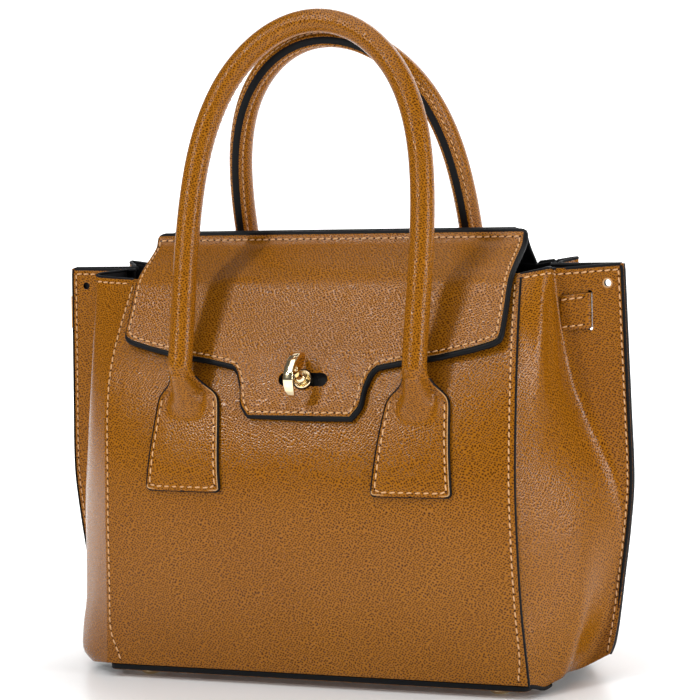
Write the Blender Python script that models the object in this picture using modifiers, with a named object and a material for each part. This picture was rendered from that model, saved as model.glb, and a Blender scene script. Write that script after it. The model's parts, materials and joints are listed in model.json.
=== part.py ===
"""Leather handbag with winged gussets, a turn-lock flap and two rolled handles.

The frame: +Z is up, the bag stands on its feet at z = 0, the front faces -Y,
and the origin lies under the middle of the base. Lengths are in metres.
"""

import math

import bmesh
import bpy
from mathutils import Matrix, Vector

MM = 0.001

# Fineness of the shapes
WELD = 0.01 * MM
SHARP_ANGLE = math.radians(40)
SURFACE_STEP = 0.001
ROUND_SEGMENTS = 20
SMALL_SEGMENTS = 16
CORNER_STEPS = 4

# Base and feet
BODY_WIDTH = 290 * MM
BODY_DEPTH = 130 * MM
FOOT_HEIGHT = 5 * MM
FOOT_RADIUS = 6.5 * MM
FOOT_PROFILE_SHARES = ((0.8, 0.94), (1, 0.62), (0.93, 0.3), (0.62, 0))
FOOT_STEM_RADIUS = 1.5 * MM
FOOT_INSET_X = 24 * MM
FOOT_INSET_Y = 17 * MM
FOOT_STEM_STAND = 1 * MM
BASE_THICKNESS = 4 * MM
BASE_CORNER_RADIUS = 6 * MM
BOARD_THICKNESS = 2 * MM
BOARD_MARGIN_X = 13 * MM
BOARD_MARGIN_Y = 6 * MM
BOARD_CORNER_RADIUS = 5 * MM
WASHER_RADIUS = 5 * MM
WASHER_THICKNESS = 0.8 * MM

# Leather and the gap that neighbouring pieces keep
PANEL_LEATHER = 2.2 * MM
LINING_LEATHER = 1.2 * MM
GUSSET_LEATHER = 2 * MM
TAB_LEATHER = 2.4 * MM
STRAP_LEATHER = 2.2 * MM
GAP = 0.3 * MM
OVERRUN = 4 * MM
CUTTER_DEPTH = 60 * MM

# Front and back panels
FRONT_HEIGHT = 249 * MM
BACK_HEIGHT = 278.5 * MM
CROWN_POWER = 4
FRONT_WIDTH_SHARES = ((0, 1), (0.2, 0.978), (0.44, 0.966), (0.75, 0.955), (1, 0.917))
FRONT_EDGE_SHARES = ((0, 1), (0.2, 1.03), (0.44, 1.015), (0.6, 0.9), (0.75, 0.735), (0.87, 0.54), (1, 0.28))
FRONT_CENTRE_SHARES = (
    (0, 1), (0.2, 1.09), (0.4, 1.125), (0.525, 1.1), (0.655, 0.985),
    (0.75, 0.846), (0.834, 0.69), (0.926, 0.477), (1, 0.31),
)
BACK_WIDTH_SHARES = ((0, 1), (0.18, 0.978), (0.39, 0.966), (0.667, 0.955), (0.888, 0.917), (1, 0.897))
BACK_EDGE_SHARES = (
    (0, 1), (0.18, 1.03), (0.39, 1.04), (0.53, 0.97), (0.667, 0.85),
    (0.788, 0.68), (0.888, 0.46), (0.95, 0.33), (1, 0.255),
)
BACK_CENTRE_SHARES = (
    (0, 1), (0.18, 1.09), (0.36, 1.125), (0.467, 1.1), (0.58, 0.985), (0.667, 0.865),
    (0.742, 0.72), (0.824, 0.55), (0.888, 0.42), (0.95, 0.31), (1, 0.255),
)
PANEL_COLUMN_SHARES = (-1, -0.93, -0.82, -0.68, -0.5, -0.25, 0, 0.25, 0.5, 0.68, 0.82, 0.93, 1)
PANEL_ROW_SHARES = (0, 0.03, 0.08, 0.16, 0.26, 0.37, 0.48, 0.58, 0.66, 0.73, 0.8, 0.87, 0.935, 1)
LINING_REACH_SHARE = 0.92
LINING_BOTTOM_SHARE = 0.014
LINING_TOP_SHARE = 0.985
BACK_LINING_TOP_SHARE = 0.96

# Gussets: each side is a front and a rear half, sewn together at the wing's edge
WING_OVERHANG = 51.5 * MM
WING_REACH = BODY_WIDTH / 2 + WING_OVERHANG
WING_TOP_Z = 264.5 * MM
WING_LEAN = 6 * MM
FLANGE_INNER_SHARE = 0.93
FLANGE_OUTER_SHARE = 0.995
WING_REACH_SHARES = (
    (0, 0.785), (0.03, 0.878), (0.08, 0.926), (0.16, 0.943), (0.26, 0.965), (0.37, 0.986),
    (0.48, 1), (0.66, 0.995), (0.8, 0.99), (1, 0.983),
)
WING_HEIGHT_SHARES = (
    (0, 0.045), (0.03, 0.056), (0.08, 0.079), (0.16, 0.152), (0.26, 0.257), (0.37, 0.37),
    (0.48, 0.484), (0.66, 0.669), (0.8, 0.803), (1, 1),
)
WING_STAND_SHARES = ((0, 1.9), (0.08, 1.8), (0.2, 1.3), (0.3, 1.07), (0.66, 1.06), (1, 1.08))
CREASE_REACH_SHARES = (
    (0, 0.775), (0.03, 0.862), (0.08, 0.91), (0.16, 0.93), (0.26, 0.95), (0.37, 0.962),
    (0.48, 0.94), (0.58, 0.875), (0.66, 0.825), (0.73, 0.79), (0.8, 0.768), (0.9, 0.748), (1, 0.738),
)
GUSSET_BULGE = 15 * MM
BULGE_LEAN_SHARE = 0.4
FRONT_LEFT_BULGE_SHARES = (
    (0, 1.3), (0.03, 1.2), (0.08, 1), (0.16, 0.74), (0.26, 0.52), (0.37, 0.38), (0.48, 0.52),
    (0.58, 0.84), (0.66, 1.06), (0.8, 1.35), (0.9, 1.6), (1, 1.8),
)
FRONT_RIGHT_BULGE_SHARES = (
    (0, 0.5), (0.03, 0.75), (0.08, 0.93), (0.16, 0.8), (0.26, 0.48), (0.37, 0.24), (0.48, 0.14),
    (0.58, 0.2), (0.66, 0.3), (0.8, 0.53), (0.9, 0.64), (1, 0.7),
)
REAR_BULGE_SHARES = (
    (0, 0.4), (0.03, 0.6), (0.08, 0.67), (0.16, 0.6), (0.26, 0.4), (0.37, 0.24), (0.48, 0.16),
    (0.58, 0.24), (0.66, 0.4), (0.8, 0.8), (0.9, 1.15), (1, 1.5),
)
GUSSET_COLUMN_SHARES = (0.07, 0.2, 0.36, 0.52, 0.68, 0.82, 0.93)
WING_COLUMN_SHARES = (0.5, 1)
REAR_RIDGE_RISE = 3 * MM
REAR_RIDGE_START_SHARE = 0.5
REAR_TOP_SHARE = 0.92

# Openings in the wings and the side strap that runs through them
HOLE_RADIUS = 3.1 * MM
HOLE_INSET = 10.5 * MM
HOLE_DROP = 12 * MM
SLIT_INSET = 22 * MM
SLIT_WIDTH = 4 * MM
SLIT_HEIGHT = 24 * MM
SLIT_DROP = 17 * MM
STRAP_WIDTH = 17 * MM
STRAP_REACH = 18.3 * MM
STRAP_BEND_RADIUS = 1.6 * MM
STRAP_EDGE_SHARES = (-0.5, 0.5)

# Flap
HINGE_Y = 12 * MM
HINGE_Z = 286 * MM
FLAP_WIDTH = 260 * MM
FLAP_LEATHER = 2 * MM
FLAP_LINING = 1.6 * MM
FLAP_CLEARANCE = 0.5 * MM
FLAP_CROWN = 3 * MM
FLAP_FOLLOW_SHARES = (1, 0.92, 0.83, 0.75, 0.67, 0.6)
FLAP_COLUMN_SHARES = (-1, -0.86, -0.7, -0.53, -0.36, -0.18, 0, 0.18, 0.36, 0.53, 0.7, 0.86, 1)
FLAP_ROW_COUNT = 14
FLAP_CORNER_Z = 218 * MM
FLAP_CORNER_RADIUS = 5 * MM
FLAP_CORNER_TURN = -70
FLAP_SIDE_SHARES = ((1, 1), (0.846, 0.71), (0.685, 0.42), (0.523, 0.26))
FLAP_TAB_TOP = 100 * MM
FLAP_TAB_WIDTH = 84 * MM
FLAP_TAB_FOOT = 71 * MM
FLAP_TAB_SHOULDER_Z = 202.5 * MM
FLAP_TAB_CHAMFER_Z = 181 * MM
FLAP_TIP_Z = 172 * MM
FLAP_FILLET_SHARES = (0.6, 0.25)

# Turn lock
LOCK_UP_SHARE = 0.75
SLOT_LENGTH = 32 * MM
SLOT_HEIGHT = 7.4 * MM
SLOT_EYE_RADIUS = 7.4 * MM
BOSS_RADIUS = 6.2 * MM
BOSS_HEIGHT = 6 * MM
BOSS_DOME_SHARES = ((0.55, 1), (0.82, 0.8), (1, 0.5))
SHANK_RADIUS = 2 * MM
SHANK_CLEARANCE = 0.4 * MM
BACK_PLATE_RADIUS = 9 * MM
BACK_PLATE_THICKNESS = 1 * MM
KNOB_STEM_RADIUS = 2.1 * MM
KNOB_COLLAR_RADIUS = 3.1 * MM
KNOB_COLLAR_HEIGHT = 1.4 * MM
KNOB_COLLAR_SHARES = ((0.68, 2), (1, 1.5), (1, 0.5), (0.68, 0))
KNOB_LENGTH = 28 * MM
KNOB_WIDTH = 6.6 * MM
KNOB_THICKNESS = 2.8 * MM
KNOB_REACH = 19 * MM
KNOB_SAG = 5 * MM
KNOB_STEPS = 12
KNOB_ROUNDING = 0.7 * MM

# Rolled handles
HANDLE_SPAN = 159 * MM
FRONT_HANDLE_RISE = 248.5 * MM
BACK_HANDLE_RISE = 243 * MM
HANDLE_RADIUS = 7.75 * MM
FRONT_HANDLE_LEAN = math.radians(14.3)
BACK_HANDLE_LEAN = math.radians(17.7)
HANDLE_RISE_SHARES = (0, 0.0875, 0.242, 0.458, 0.648, 0.752, 0.844, 0.917, 0.969, 1)
HANDLE_SPAN_SHARES = (1, 1, 1, 1.02, 0.972, 0.872, 0.752, 0.548, 0.332, 0)
HANDLE_STEPS = 2
HANDLE_END_ANGLES = (12, 35, 60)
HANDLE_SWING = math.radians(146)
SEAM_WIDTH = 2.6 * MM
SEAM_DEPTH = 4 * MM
SEAM_START = 62 * MM

# Handle tabs
TAB_BOTTOM_Z = 127 * MM
TAB_TOP_Z = 201 * MM
TAB_WIDTH = 52.5 * MM
TAB_FOOT_X = 77.5 * MM
PIVOT_UP_SHARE = 0.673
PIVOT_STAND = 6 * MM
TAB_HEIGHT_SHARES = (0, 0.12, 0.3, 0.45, 0.56, 0.66, 0.76, 0.83, 0.88, 0.94, 1)
TAB_WIDTH_SHARES = ((0, 1), (0.4, 0.9), (0.83, 0.79), (0.9, 0.55), (1, 0.36))
TAB_COLUMN_COUNT = 10
DOME_HEIGHT = 8.5 * MM
DOME_REACH = 19 * MM
DOME_DROP = 5 * MM
SEAT_RUN = 40 * MM


def material(name, colour, roughness, metallic=0.0):
    """A plain Principled material."""
    made = bpy.data.materials.new(name)
    made.use_nodes = True
    shader = made.node_tree.nodes["Principled BSDF"]
    shader.inputs["Base Color"].default_value = (*colour, 1.0)
    shader.inputs["Roughness"].default_value = roughness
    shader.inputs["Metallic"].default_value = metallic
    made.diffuse_color = (*colour, 1.0)
    return made


def table_value(table, share):
    """Smooth value of a table of (share, value) pairs, through every pair."""
    places = [row[0] for row in table]
    values = [row[1] for row in table]
    share = min(max(share, places[0]), places[-1])
    index = 0
    while index < len(table) - 2 and share > places[index + 1]:
        index += 1
    slopes = []
    for at in (index, index + 1):
        before = max(at - 1, 0)
        after = min(at + 1, len(table) - 1)
        slopes.append((values[after] - values[before]) / (places[after] - places[before]))
    step = places[index + 1] - places[index]
    t = (share - places[index]) / step
    start = (1 + 2 * t) * (1 - t) ** 2 * values[index] + t * (1 - t) ** 2 * step * slopes[0]
    end = t * t * (3 - 2 * t) * values[index + 1] + t * t * (t - 1) * step * slopes[1]
    return start + end


def mix(a, b, share):
    """The value, or the point, that lies a share of the way from a to b."""
    return a + (b - a) * share


def offset_point(surface, first, second, inset):
    """A point of a surface, moved in by inset along its own normal."""
    step = SURFACE_STEP
    point = surface(first, second)
    along = surface(first + step, second) - surface(first - step, second)
    upward = surface(first, second + step) - surface(first, second - step)
    normal = along.cross(upward).normalized()
    return point - normal * inset


def link(thing, collection):
    """Put an object in one collection."""
    collection.objects.link(thing)
    return thing


def mesh_object(name, bm, collection, finish=None, smooth=True):
    """A linked object made from a bmesh."""
    mesh = bpy.data.meshes.new(name)
    bm.to_mesh(mesh)
    bm.free()
    if smooth:
        mesh.shade_smooth()
        mesh.set_sharp_from_angle(angle=SHARP_ANGLE)
    thing = bpy.data.objects.new(name, mesh)
    if finish:
        mesh.materials.append(finish)
    return link(thing, collection)


def hide_cutter(thing):
    """Show a cutter as a wire, and leave it out of the model."""
    thing.hide_render = True
    thing.display_type = "WIRE"
    return thing


def cut(thing, cutter, operation="DIFFERENCE"):
    """Cut an object by a cutter with an exact Boolean."""
    boolean = thing.modifiers.new(cutter.name, "BOOLEAN")
    boolean.operation = operation
    boolean.object = cutter
    boolean.solver = "EXACT"


def open_grid(point, columns, rows, flip):
    """A bmesh of one open surface, with a vertex for each column and row value."""
    bm = bmesh.new()
    grid = [[bm.verts.new(point(column, row)) for column in columns] for row in rows]
    for lower, upper in zip(grid, grid[1:]):
        for left in range(len(columns) - 1):
            corners = [lower[left], lower[left + 1], upper[left + 1], upper[left]]
            bm.faces.new(reversed(corners) if flip else corners)
    return bm


def leather_sheet(name, point, columns, rows, thickness, finish, collection, flip=False):
    """A sheet of leather whose outer face follows a surface."""
    thing = mesh_object(name, open_grid(point, columns, rows, flip), collection, finish)
    solidify = thing.modifiers.new("thickness", "SOLIDIFY")
    solidify.thickness = thickness
    solidify.offset = -1
    solidify.use_even_offset = True
    return thing


def moulded_slab(name, outer, inner, columns, rows, finish, collection, flip=False):
    """A closed slab lofted between an outer and an inner face of unlike shape."""
    bm = bmesh.new()
    faces = [[[bm.verts.new(side(column, row)) for column in columns] for row in rows] for side in (outer, inner)]
    last_row = len(rows) - 1
    last_column = len(columns) - 1
    for which, grid in enumerate(faces):
        for row in range(last_row):
            for column in range(last_column):
                corners = [
                    grid[row][column], grid[row][column + 1],
                    grid[row + 1][column + 1], grid[row + 1][column],
                ]
                bm.faces.new(corners if which == 0 else reversed(corners))
    rim = [(0, column) for column in range(last_column)]
    rim += [(row, last_column) for row in range(last_row)]
    rim += [(last_row, column) for column in range(last_column, 0, -1)]
    rim += [(row, 0) for row in range(last_row, 0, -1)]
    for here, there in zip(rim, rim[1:] + rim[:1]):
        near = [faces[0][row][column] for row, column in (here, there)]
        far = [faces[1][row][column] for row, column in (there, here)]
        bm.faces.new([near[1], near[0], far[1], far[0]])
    if flip:
        bmesh.ops.reverse_faces(bm, faces=bm.faces)
    return mesh_object(name, bm, collection, finish)


def flat_outline(name, points, thickness, collection, finish=None, matrix=None):
    """A flat outline as a 2D curve, extruded to a thickness and turned into a mesh."""
    curve = bpy.data.curves.new(name + "_outline", "CURVE")
    curve.dimensions = "2D"
    curve.fill_mode = "BOTH"
    curve.extrude = thickness / 2
    spline = curve.splines.new("POLY")
    spline.points.add(len(points) - 1)
    for target, (x, y) in zip(spline.points, points):
        target.co = (x, y, 0, 1)
    spline.use_cyclic_u = True
    return curve_to_mesh(name, curve, collection, finish, matrix)


def curve_to_mesh(name, curve, collection, finish=None, matrix=None):
    """Turn a curve into a welded mesh object and remove the curve."""
    source = bpy.data.objects.new(name + "_curve", curve)
    bpy.context.scene.collection.objects.link(source)
    source.matrix_world = matrix or Matrix()
    bpy.context.view_layer.update()
    evaluated = source.evaluated_get(bpy.context.evaluated_depsgraph_get())
    mesh = bpy.data.meshes.new_from_object(evaluated)
    mesh.name = name
    bm = bmesh.new()
    bm.from_mesh(mesh)
    bmesh.ops.remove_doubles(bm, verts=bm.verts, dist=WELD)
    bmesh.ops.recalc_face_normals(bm, faces=bm.faces)
    bm.to_mesh(mesh)
    bm.free()
    mesh.shade_smooth()
    mesh.set_sharp_from_angle(angle=SHARP_ANGLE)
    thing = bpy.data.objects.new(name, mesh)
    thing.matrix_world = source.matrix_world.copy()
    bpy.data.objects.remove(source)
    if finish:
        mesh.materials.clear()
        mesh.materials.append(finish)
    return link(thing, collection)


def turned(name, profile, collection, finish, segments=ROUND_SEGMENTS, closed=False):
    """A turned piece: a profile of (radius, height) points, from top to bottom, round local Z."""
    bm = bmesh.new()
    corners = [bm.verts.new((radius, 0, height)) for radius, height in profile]
    for here, there in zip(corners, corners[1:]):
        bm.edges.new((here, there))
    if closed:
        bm.edges.new((corners[-1], corners[0]))
    thing = mesh_object(name, bm, collection, finish, smooth=False)
    screw = thing.modifiers.new("turn", "SCREW")
    screw.axis = "Z"
    screw.angle = math.tau
    screw.steps = segments
    screw.render_steps = segments
    screw.use_merge_vertices = True
    screw.merge_threshold = WELD
    screw.use_smooth_shade = True
    return thing


def arc(centre, radius, start, end, steps):
    """Points on an arc of a plane outline, with its angles in degrees."""
    points = []
    for step in range(steps + 1):
        angle = math.radians(mix(start, end, step / steps))
        points.append((centre[0] + radius * math.cos(angle), centre[1] + radius * math.sin(angle)))
    return points


def circle(radius, segments=SMALL_SEGMENTS):
    """Outline of a circle round its centre."""
    return arc((0, 0), radius, 0, 360, segments)[:-1]


def rounded_rectangle(width, depth, radius):
    """Outline of a rectangle with rounded corners, round its centre."""
    x = width / 2 - radius
    y = depth / 2 - radius
    outline = arc((x, y), radius, 0, 90, CORNER_STEPS)
    outline += arc((-x, y), radius, 90, 180, CORNER_STEPS)
    outline += arc((-x, -y), radius, 180, 270, CORNER_STEPS)
    outline += arc((x, -y), radius, 270, 360, CORNER_STEPS)
    return outline


def stadium(length, height):
    """Outline of a slot with round ends, round its centre."""
    radius = height / 2
    reach = length / 2 - radius
    steps = 2 * CORNER_STEPS
    return arc((reach, 0), radius, -90, 90, steps) + arc((-reach, 0), radius, 90, 270, steps)


BODY_BOTTOM_Z = FOOT_HEIGHT + BASE_THICKNESS + GAP
FRONT_TABLES = (FRONT_WIDTH_SHARES, FRONT_EDGE_SHARES, FRONT_CENTRE_SHARES, FRONT_HEIGHT)
BACK_TABLES = (BACK_WIDTH_SHARES, BACK_EDGE_SHARES, BACK_CENTRE_SHARES, BACK_HEIGHT)


def panel_surface(side):
    """Outer face of the front (-1) or back (1) panel, by across -1..1 and up 0..1."""
    widths, edges, centres, height = FRONT_TABLES if side < 0 else BACK_TABLES

    def point(across, up):
        half_width = BODY_WIDTH / 2 * table_value(widths, up)
        edge = table_value(edges, up)
        centre = table_value(centres, up)
        crown = 1 - min(abs(across), 1) ** CROWN_POWER
        depth = BODY_DEPTH / 2 * mix(edge, centre, crown)
        return Vector((half_width * across, side * depth, BODY_BOTTOM_Z + height * up))

    return point


def panel_point(side, across, up, inset=0):
    """A point of a panel at some depth behind its outer face."""
    return offset_point(panel_surface(side), across, up, inset * -side)


def panel_sheets(leather, black, parts):
    """The two leather panels and their linings."""
    sheets = {}
    for side, name, top in ((-1, "front", LINING_TOP_SHARE), (1, "back", BACK_LINING_TOP_SHARE)):
        sheets[name] = leather_sheet(
            name + "_panel", lambda across, up, side=side: panel_point(side, across, up),
            PANEL_COLUMN_SHARES, PANEL_ROW_SHARES, PANEL_LEATHER, leather, parts, side > 0,
        )
        inner_columns = [share for share in PANEL_COLUMN_SHARES if abs(share) < LINING_REACH_SHARE]
        columns = [-LINING_REACH_SHARE] + inner_columns + [LINING_REACH_SHARE]
        inner_rows = [share for share in PANEL_ROW_SHARES if LINING_BOTTOM_SHARE < share < top]
        rows = [LINING_BOTTOM_SHARE] + inner_rows + [top]
        sheets[name + "_lining"] = leather_sheet(
            name + "_lining",
            lambda across, up, side=side: panel_point(side, across, up, PANEL_LEATHER + GAP),
            columns, rows, LINING_LEATHER, black, parts, side > 0,
        )
    return sheets


def wing_middle(height):
    """Y of the middle plane of the wings, which lean back a little."""
    return WING_LEAN * height / WING_TOP_Z


def gusset_point(hand, side, column, up):
    """Outer face of a gusset half: hand is -1 left or 1 right, side is -1 front or 1 rear.

    Columns -2 and -1 are the flange under the panel, 0..1 is the bulging part,
    and 1..2 is the flat wing.
    """
    panel_up = up if side < 0 else up * REAR_TOP_SHARE
    under = PANEL_LEATHER + GAP
    inner = panel_point(side, FLANGE_INNER_SHARE, panel_up, under)
    seam = panel_point(side, FLANGE_OUTER_SHARE, panel_up, under)
    wing_z = WING_TOP_Z * table_value(WING_HEIGHT_SHARES, up)
    stand = side * (GUSSET_LEATHER + GAP / 2) * table_value(WING_STAND_SHARES, up)
    edge = Vector((WING_REACH * table_value(WING_REACH_SHARES, up), wing_middle(wing_z) + stand, wing_z))
    crease = edge.copy()
    crease.x = WING_REACH * table_value(CREASE_REACH_SHARES, up)
    if column <= -2:
        point = inner
    elif column <= -1:
        point = seam
    elif column <= 1:
        chord = crease - seam
        outward = Vector((abs(chord.y), side * chord.x * BULGE_LEAN_SHARE, 0)).normalized()
        shares = REAR_BULGE_SHARES
        if side < 0:
            shares = FRONT_LEFT_BULGE_SHARES if hand < 0 else FRONT_RIGHT_BULGE_SHARES
        bulge = GUSSET_BULGE * table_value(shares, up)
        point = mix(seam, crease, column) + outward * bulge * math.sin(math.pi * column)
        if side > 0:
            climb = max(up - REAR_RIDGE_START_SHARE, 0) / (1 - REAR_RIDGE_START_SHARE)
            point.z += REAR_RIDGE_RISE * math.sin(math.pi * column) * climb
    else:
        point = mix(crease, edge, column - 1)
    return Vector((hand * point.x, point.y, point.z))


def gusset_halves(leather, parts, cutters):
    """The four gusset halves, with the wing's hole and slit cut through both layers."""
    columns = [-2, -1] + list(GUSSET_COLUMN_SHARES) + [1] + [1 + share for share in WING_COLUMN_SHARES]
    quarter_turn = Matrix.Rotation(math.radians(90), 4, "Z")
    for hand, hand_name in ((-1, "left"), (1, "right")):
        hole_x = hand * (WING_REACH * WING_REACH_SHARES[-1][1] - HOLE_INSET)
        slit_x = hand * (WING_REACH * WING_REACH_SHARES[-1][1] - SLIT_INSET)
        slit_z = WING_TOP_Z - SLIT_DROP - SLIT_HEIGHT / 2
        lying = Matrix.Rotation(math.radians(90), 4, "X")
        hole = flat_outline(
            hand_name + "_hole_cutter", circle(HOLE_RADIUS), CUTTER_DEPTH, cutters,
            matrix=Matrix.Translation((hole_x, 0, WING_TOP_Z - HOLE_DROP)) @ lying,
        )
        slit = flat_outline(
            hand_name + "_slit_cutter", stadium(SLIT_HEIGHT, SLIT_WIDTH), CUTTER_DEPTH / 2, cutters,
            matrix=Matrix.Translation((slit_x, wing_middle(slit_z), slit_z)) @ lying @ quarter_turn,
        )
        for side, side_name in ((-1, "front"), (1, "rear")):
            rows = PANEL_ROW_SHARES
            if side > 0:
                rows = [share / REAR_TOP_SHARE for share in PANEL_ROW_SHARES if share < REAR_TOP_SHARE] + [1]
            half = leather_sheet(
                f"{hand_name}_gusset_{side_name}",
                lambda column, up, hand=hand, side=side: gusset_point(hand, side, column, up),
                columns, rows, GUSSET_LEATHER, leather, parts, hand * side > 0,
            )
            half.modifiers["thickness"].use_even_offset = False
            for cutter in (hole, slit):
                cut(half, hide_cutter(cutter))


def side_straps(leather, parts):
    """The strap on each side: it comes from one fold, passes the slit and ends in the other fold."""
    slit_z = WING_TOP_Z - SLIT_DROP - SLIT_HEIGHT / 2
    middle = wing_middle(slit_z)
    run = (GUSSET_LEATHER + GAP / 2) * WING_STAND_SHARES[-1][1] + GAP + STRAP_LEATHER / 2
    slit_x = WING_REACH * WING_REACH_SHARES[-1][1] - SLIT_INSET
    turn_x = slit_x - SLIT_WIDTH / 2 + GAP + STRAP_LEATHER / 2
    bend = STRAP_BEND_RADIUS
    route = [(turn_x - STRAP_REACH, middle - run)]
    route += arc((turn_x - bend, middle - run + bend), bend, -90, 0, CORNER_STEPS)
    route += arc((turn_x - bend, middle + run - bend), bend, 0, 90, CORNER_STEPS)
    route += [(turn_x - STRAP_REACH, middle + run)]
    for hand, name in ((-1, "left_side_strap"), (1, "right_side_strap")):
        def point(column, row, hand=hand):
            x, y = route[column]
            z = slit_z + STRAP_WIDTH * row
            return Vector((hand * x, y + wing_middle(z) - middle, z))

        strap = leather_sheet(
            name, point, range(len(route)), STRAP_EDGE_SHARES, STRAP_LEATHER, leather, parts, hand < 0,
        )
        strap.modifiers["thickness"].offset = 0


def base_and_feet(leather, board, brass, parts, cutters):
    """The base panel, its stiffening board, four studs and the washers that hold them."""
    base_z = FOOT_HEIGHT + BASE_THICKNESS / 2
    base = flat_outline(
        "base_panel", rounded_rectangle(BODY_WIDTH, BODY_DEPTH, BASE_CORNER_RADIUS), BASE_THICKNESS,
        parts, leather, Matrix.Translation((0, 0, base_z)),
    )
    board_z = BODY_BOTTOM_Z + BOARD_THICKNESS / 2
    stiffener = flat_outline(
        "base_board",
        rounded_rectangle(BODY_WIDTH - 2 * BOARD_MARGIN_X, BODY_DEPTH - 2 * BOARD_MARGIN_Y, BOARD_CORNER_RADIUS),
        BOARD_THICKNESS, parts, board, Matrix.Translation((0, 0, board_z)),
    )
    board_top = BODY_BOTTOM_Z + BOARD_THICKNESS
    stem_top = board_top + GAP + WASHER_THICKNESS + FOOT_STEM_STAND
    profile = [(0, stem_top), (FOOT_STEM_RADIUS, stem_top)]
    profile += [(FOOT_STEM_RADIUS, FOOT_HEIGHT * FOOT_PROFILE_SHARES[0][1])]
    profile += [(FOOT_RADIUS * across, FOOT_HEIGHT * up) for across, up in FOOT_PROFILE_SHARES] + [(0, 0)]
    foot_x = BODY_WIDTH / 2 - FOOT_INSET_X
    foot_y = BODY_DEPTH / 2 - FOOT_INSET_Y
    for hand, hand_name in ((-1, "left"), (1, "right")):
        for side, side_name in ((-1, "front"), (1, "rear")):
            foot = turned(f"foot_{side_name}_{hand_name}", profile, parts, brass, SMALL_SEGMENTS)
            foot.location = (hand * foot_x, side * foot_y, 0)
            stem = flat_outline(
                f"{side_name}_{hand_name}_stem_cutter", circle(FOOT_STEM_RADIUS + GAP), CUTTER_DEPTH, cutters,
                matrix=Matrix.Translation((hand * foot_x, side * foot_y, board_z)),
            )
            hide_cutter(stem)
            cut(base, stem)
            cut(stiffener, stem)
            washer = turned(
                f"washer_{side_name}_{hand_name}", [
                    (FOOT_STEM_RADIUS + GAP, board_top + GAP + WASHER_THICKNESS),
                    (WASHER_RADIUS, board_top + GAP + WASHER_THICKNESS), (WASHER_RADIUS, board_top + GAP),
                    (FOOT_STEM_RADIUS + GAP, board_top + GAP),
                ], parts, brass, SMALL_SEGMENTS, True,
            )
            washer.location = (hand * foot_x, side * foot_y, 0)


def flap_profile():
    """Side profile of the flap's middle layer as points (y, z), from the hinge to below its tip."""
    half = (FLAP_LEATHER + GAP + FLAP_LINING) / 2
    profile = [(HINGE_Y, HINGE_Z)]
    for up in FLAP_FOLLOW_SHARES:
        point = panel_point(-1, 0, up, -(FLAP_CLEARANCE + half))
        profile.append((point.y, point.z))
    lengths = [0]
    for here, there in zip(profile, profile[1:]):
        lengths.append(lengths[-1] + math.dist(here, there))
    total = lengths[-1]
    along_y = [(length / total, point[0]) for length, point in zip(lengths, profile)]
    along_z = [(length / total, point[1]) for length, point in zip(lengths, profile)]
    return along_y, along_z


FLAP_PROFILE_Y, FLAP_PROFILE_Z = flap_profile()


def flap_surface(across, down):
    """Middle layer of the flap, by across -1..1 and down 0..1 from the hinge."""
    y = table_value(FLAP_PROFILE_Y, down)
    z = table_value(FLAP_PROFILE_Z, down)
    if down < 0:
        y = mix(FLAP_PROFILE_Y[0][1], table_value(FLAP_PROFILE_Y, -down), -1)
        z = mix(FLAP_PROFILE_Z[0][1], table_value(FLAP_PROFILE_Z, -down), -1)
    crown = FLAP_CROWN * max(down, 0) ** 2 * min(abs(across), 1) ** CROWN_POWER
    return Vector((across * FLAP_WIDTH / 2, y + crown, z))


def flap_outline():
    """The part of the (x, z) plane below the flap's lower edge, as an outline to cut away."""
    half = FLAP_WIDTH / 2
    right = [(half + OVERRUN, FLAP_CORNER_Z + FLAP_CORNER_RADIUS)]
    corner = (half - FLAP_CORNER_RADIUS, FLAP_CORNER_Z + FLAP_CORNER_RADIUS)
    right += arc(corner, FLAP_CORNER_RADIUS, 0, FLAP_CORNER_TURN, CORNER_STEPS)
    drop = FLAP_CORNER_Z - FLAP_TAB_SHOULDER_Z
    right += [
        (half * reach, FLAP_TAB_SHOULDER_Z + drop * rise) for reach, rise in FLAP_SIDE_SHARES[1:]
    ]
    across, down = FLAP_FILLET_SHARES
    right += [
        (FLAP_TAB_TOP / 2, FLAP_TAB_SHOULDER_Z),
        (mix(FLAP_TAB_TOP, FLAP_TAB_WIDTH, across) / 2, mix(FLAP_TAB_SHOULDER_Z, FLAP_TAB_CHAMFER_Z, down)),
        (FLAP_TAB_WIDTH / 2, FLAP_TAB_CHAMFER_Z), (FLAP_TAB_FOOT / 2, FLAP_TIP_Z),
    ]
    bottom = FLAP_TIP_Z - CUTTER_DEPTH
    outline = [(half + OVERRUN, bottom)] + right
    outline += [(-x, z) for x, z in reversed(right)] + [(-half - OVERRUN, bottom)]
    return outline


def lock_frame():
    """Matrix of the lock: its origin on the front panel, local Z out along the lock's axis, local Y up."""
    origin = panel_point(-1, 0, LOCK_UP_SHARE)
    outward = (panel_point(-1, 0, LOCK_UP_SHARE, -MM) - origin).normalized()
    right = Vector((1, 0, 0))
    up = outward.cross(right)
    frame = Matrix((right, up, outward)).transposed().to_4x4()
    frame.translation = origin
    return frame


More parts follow.
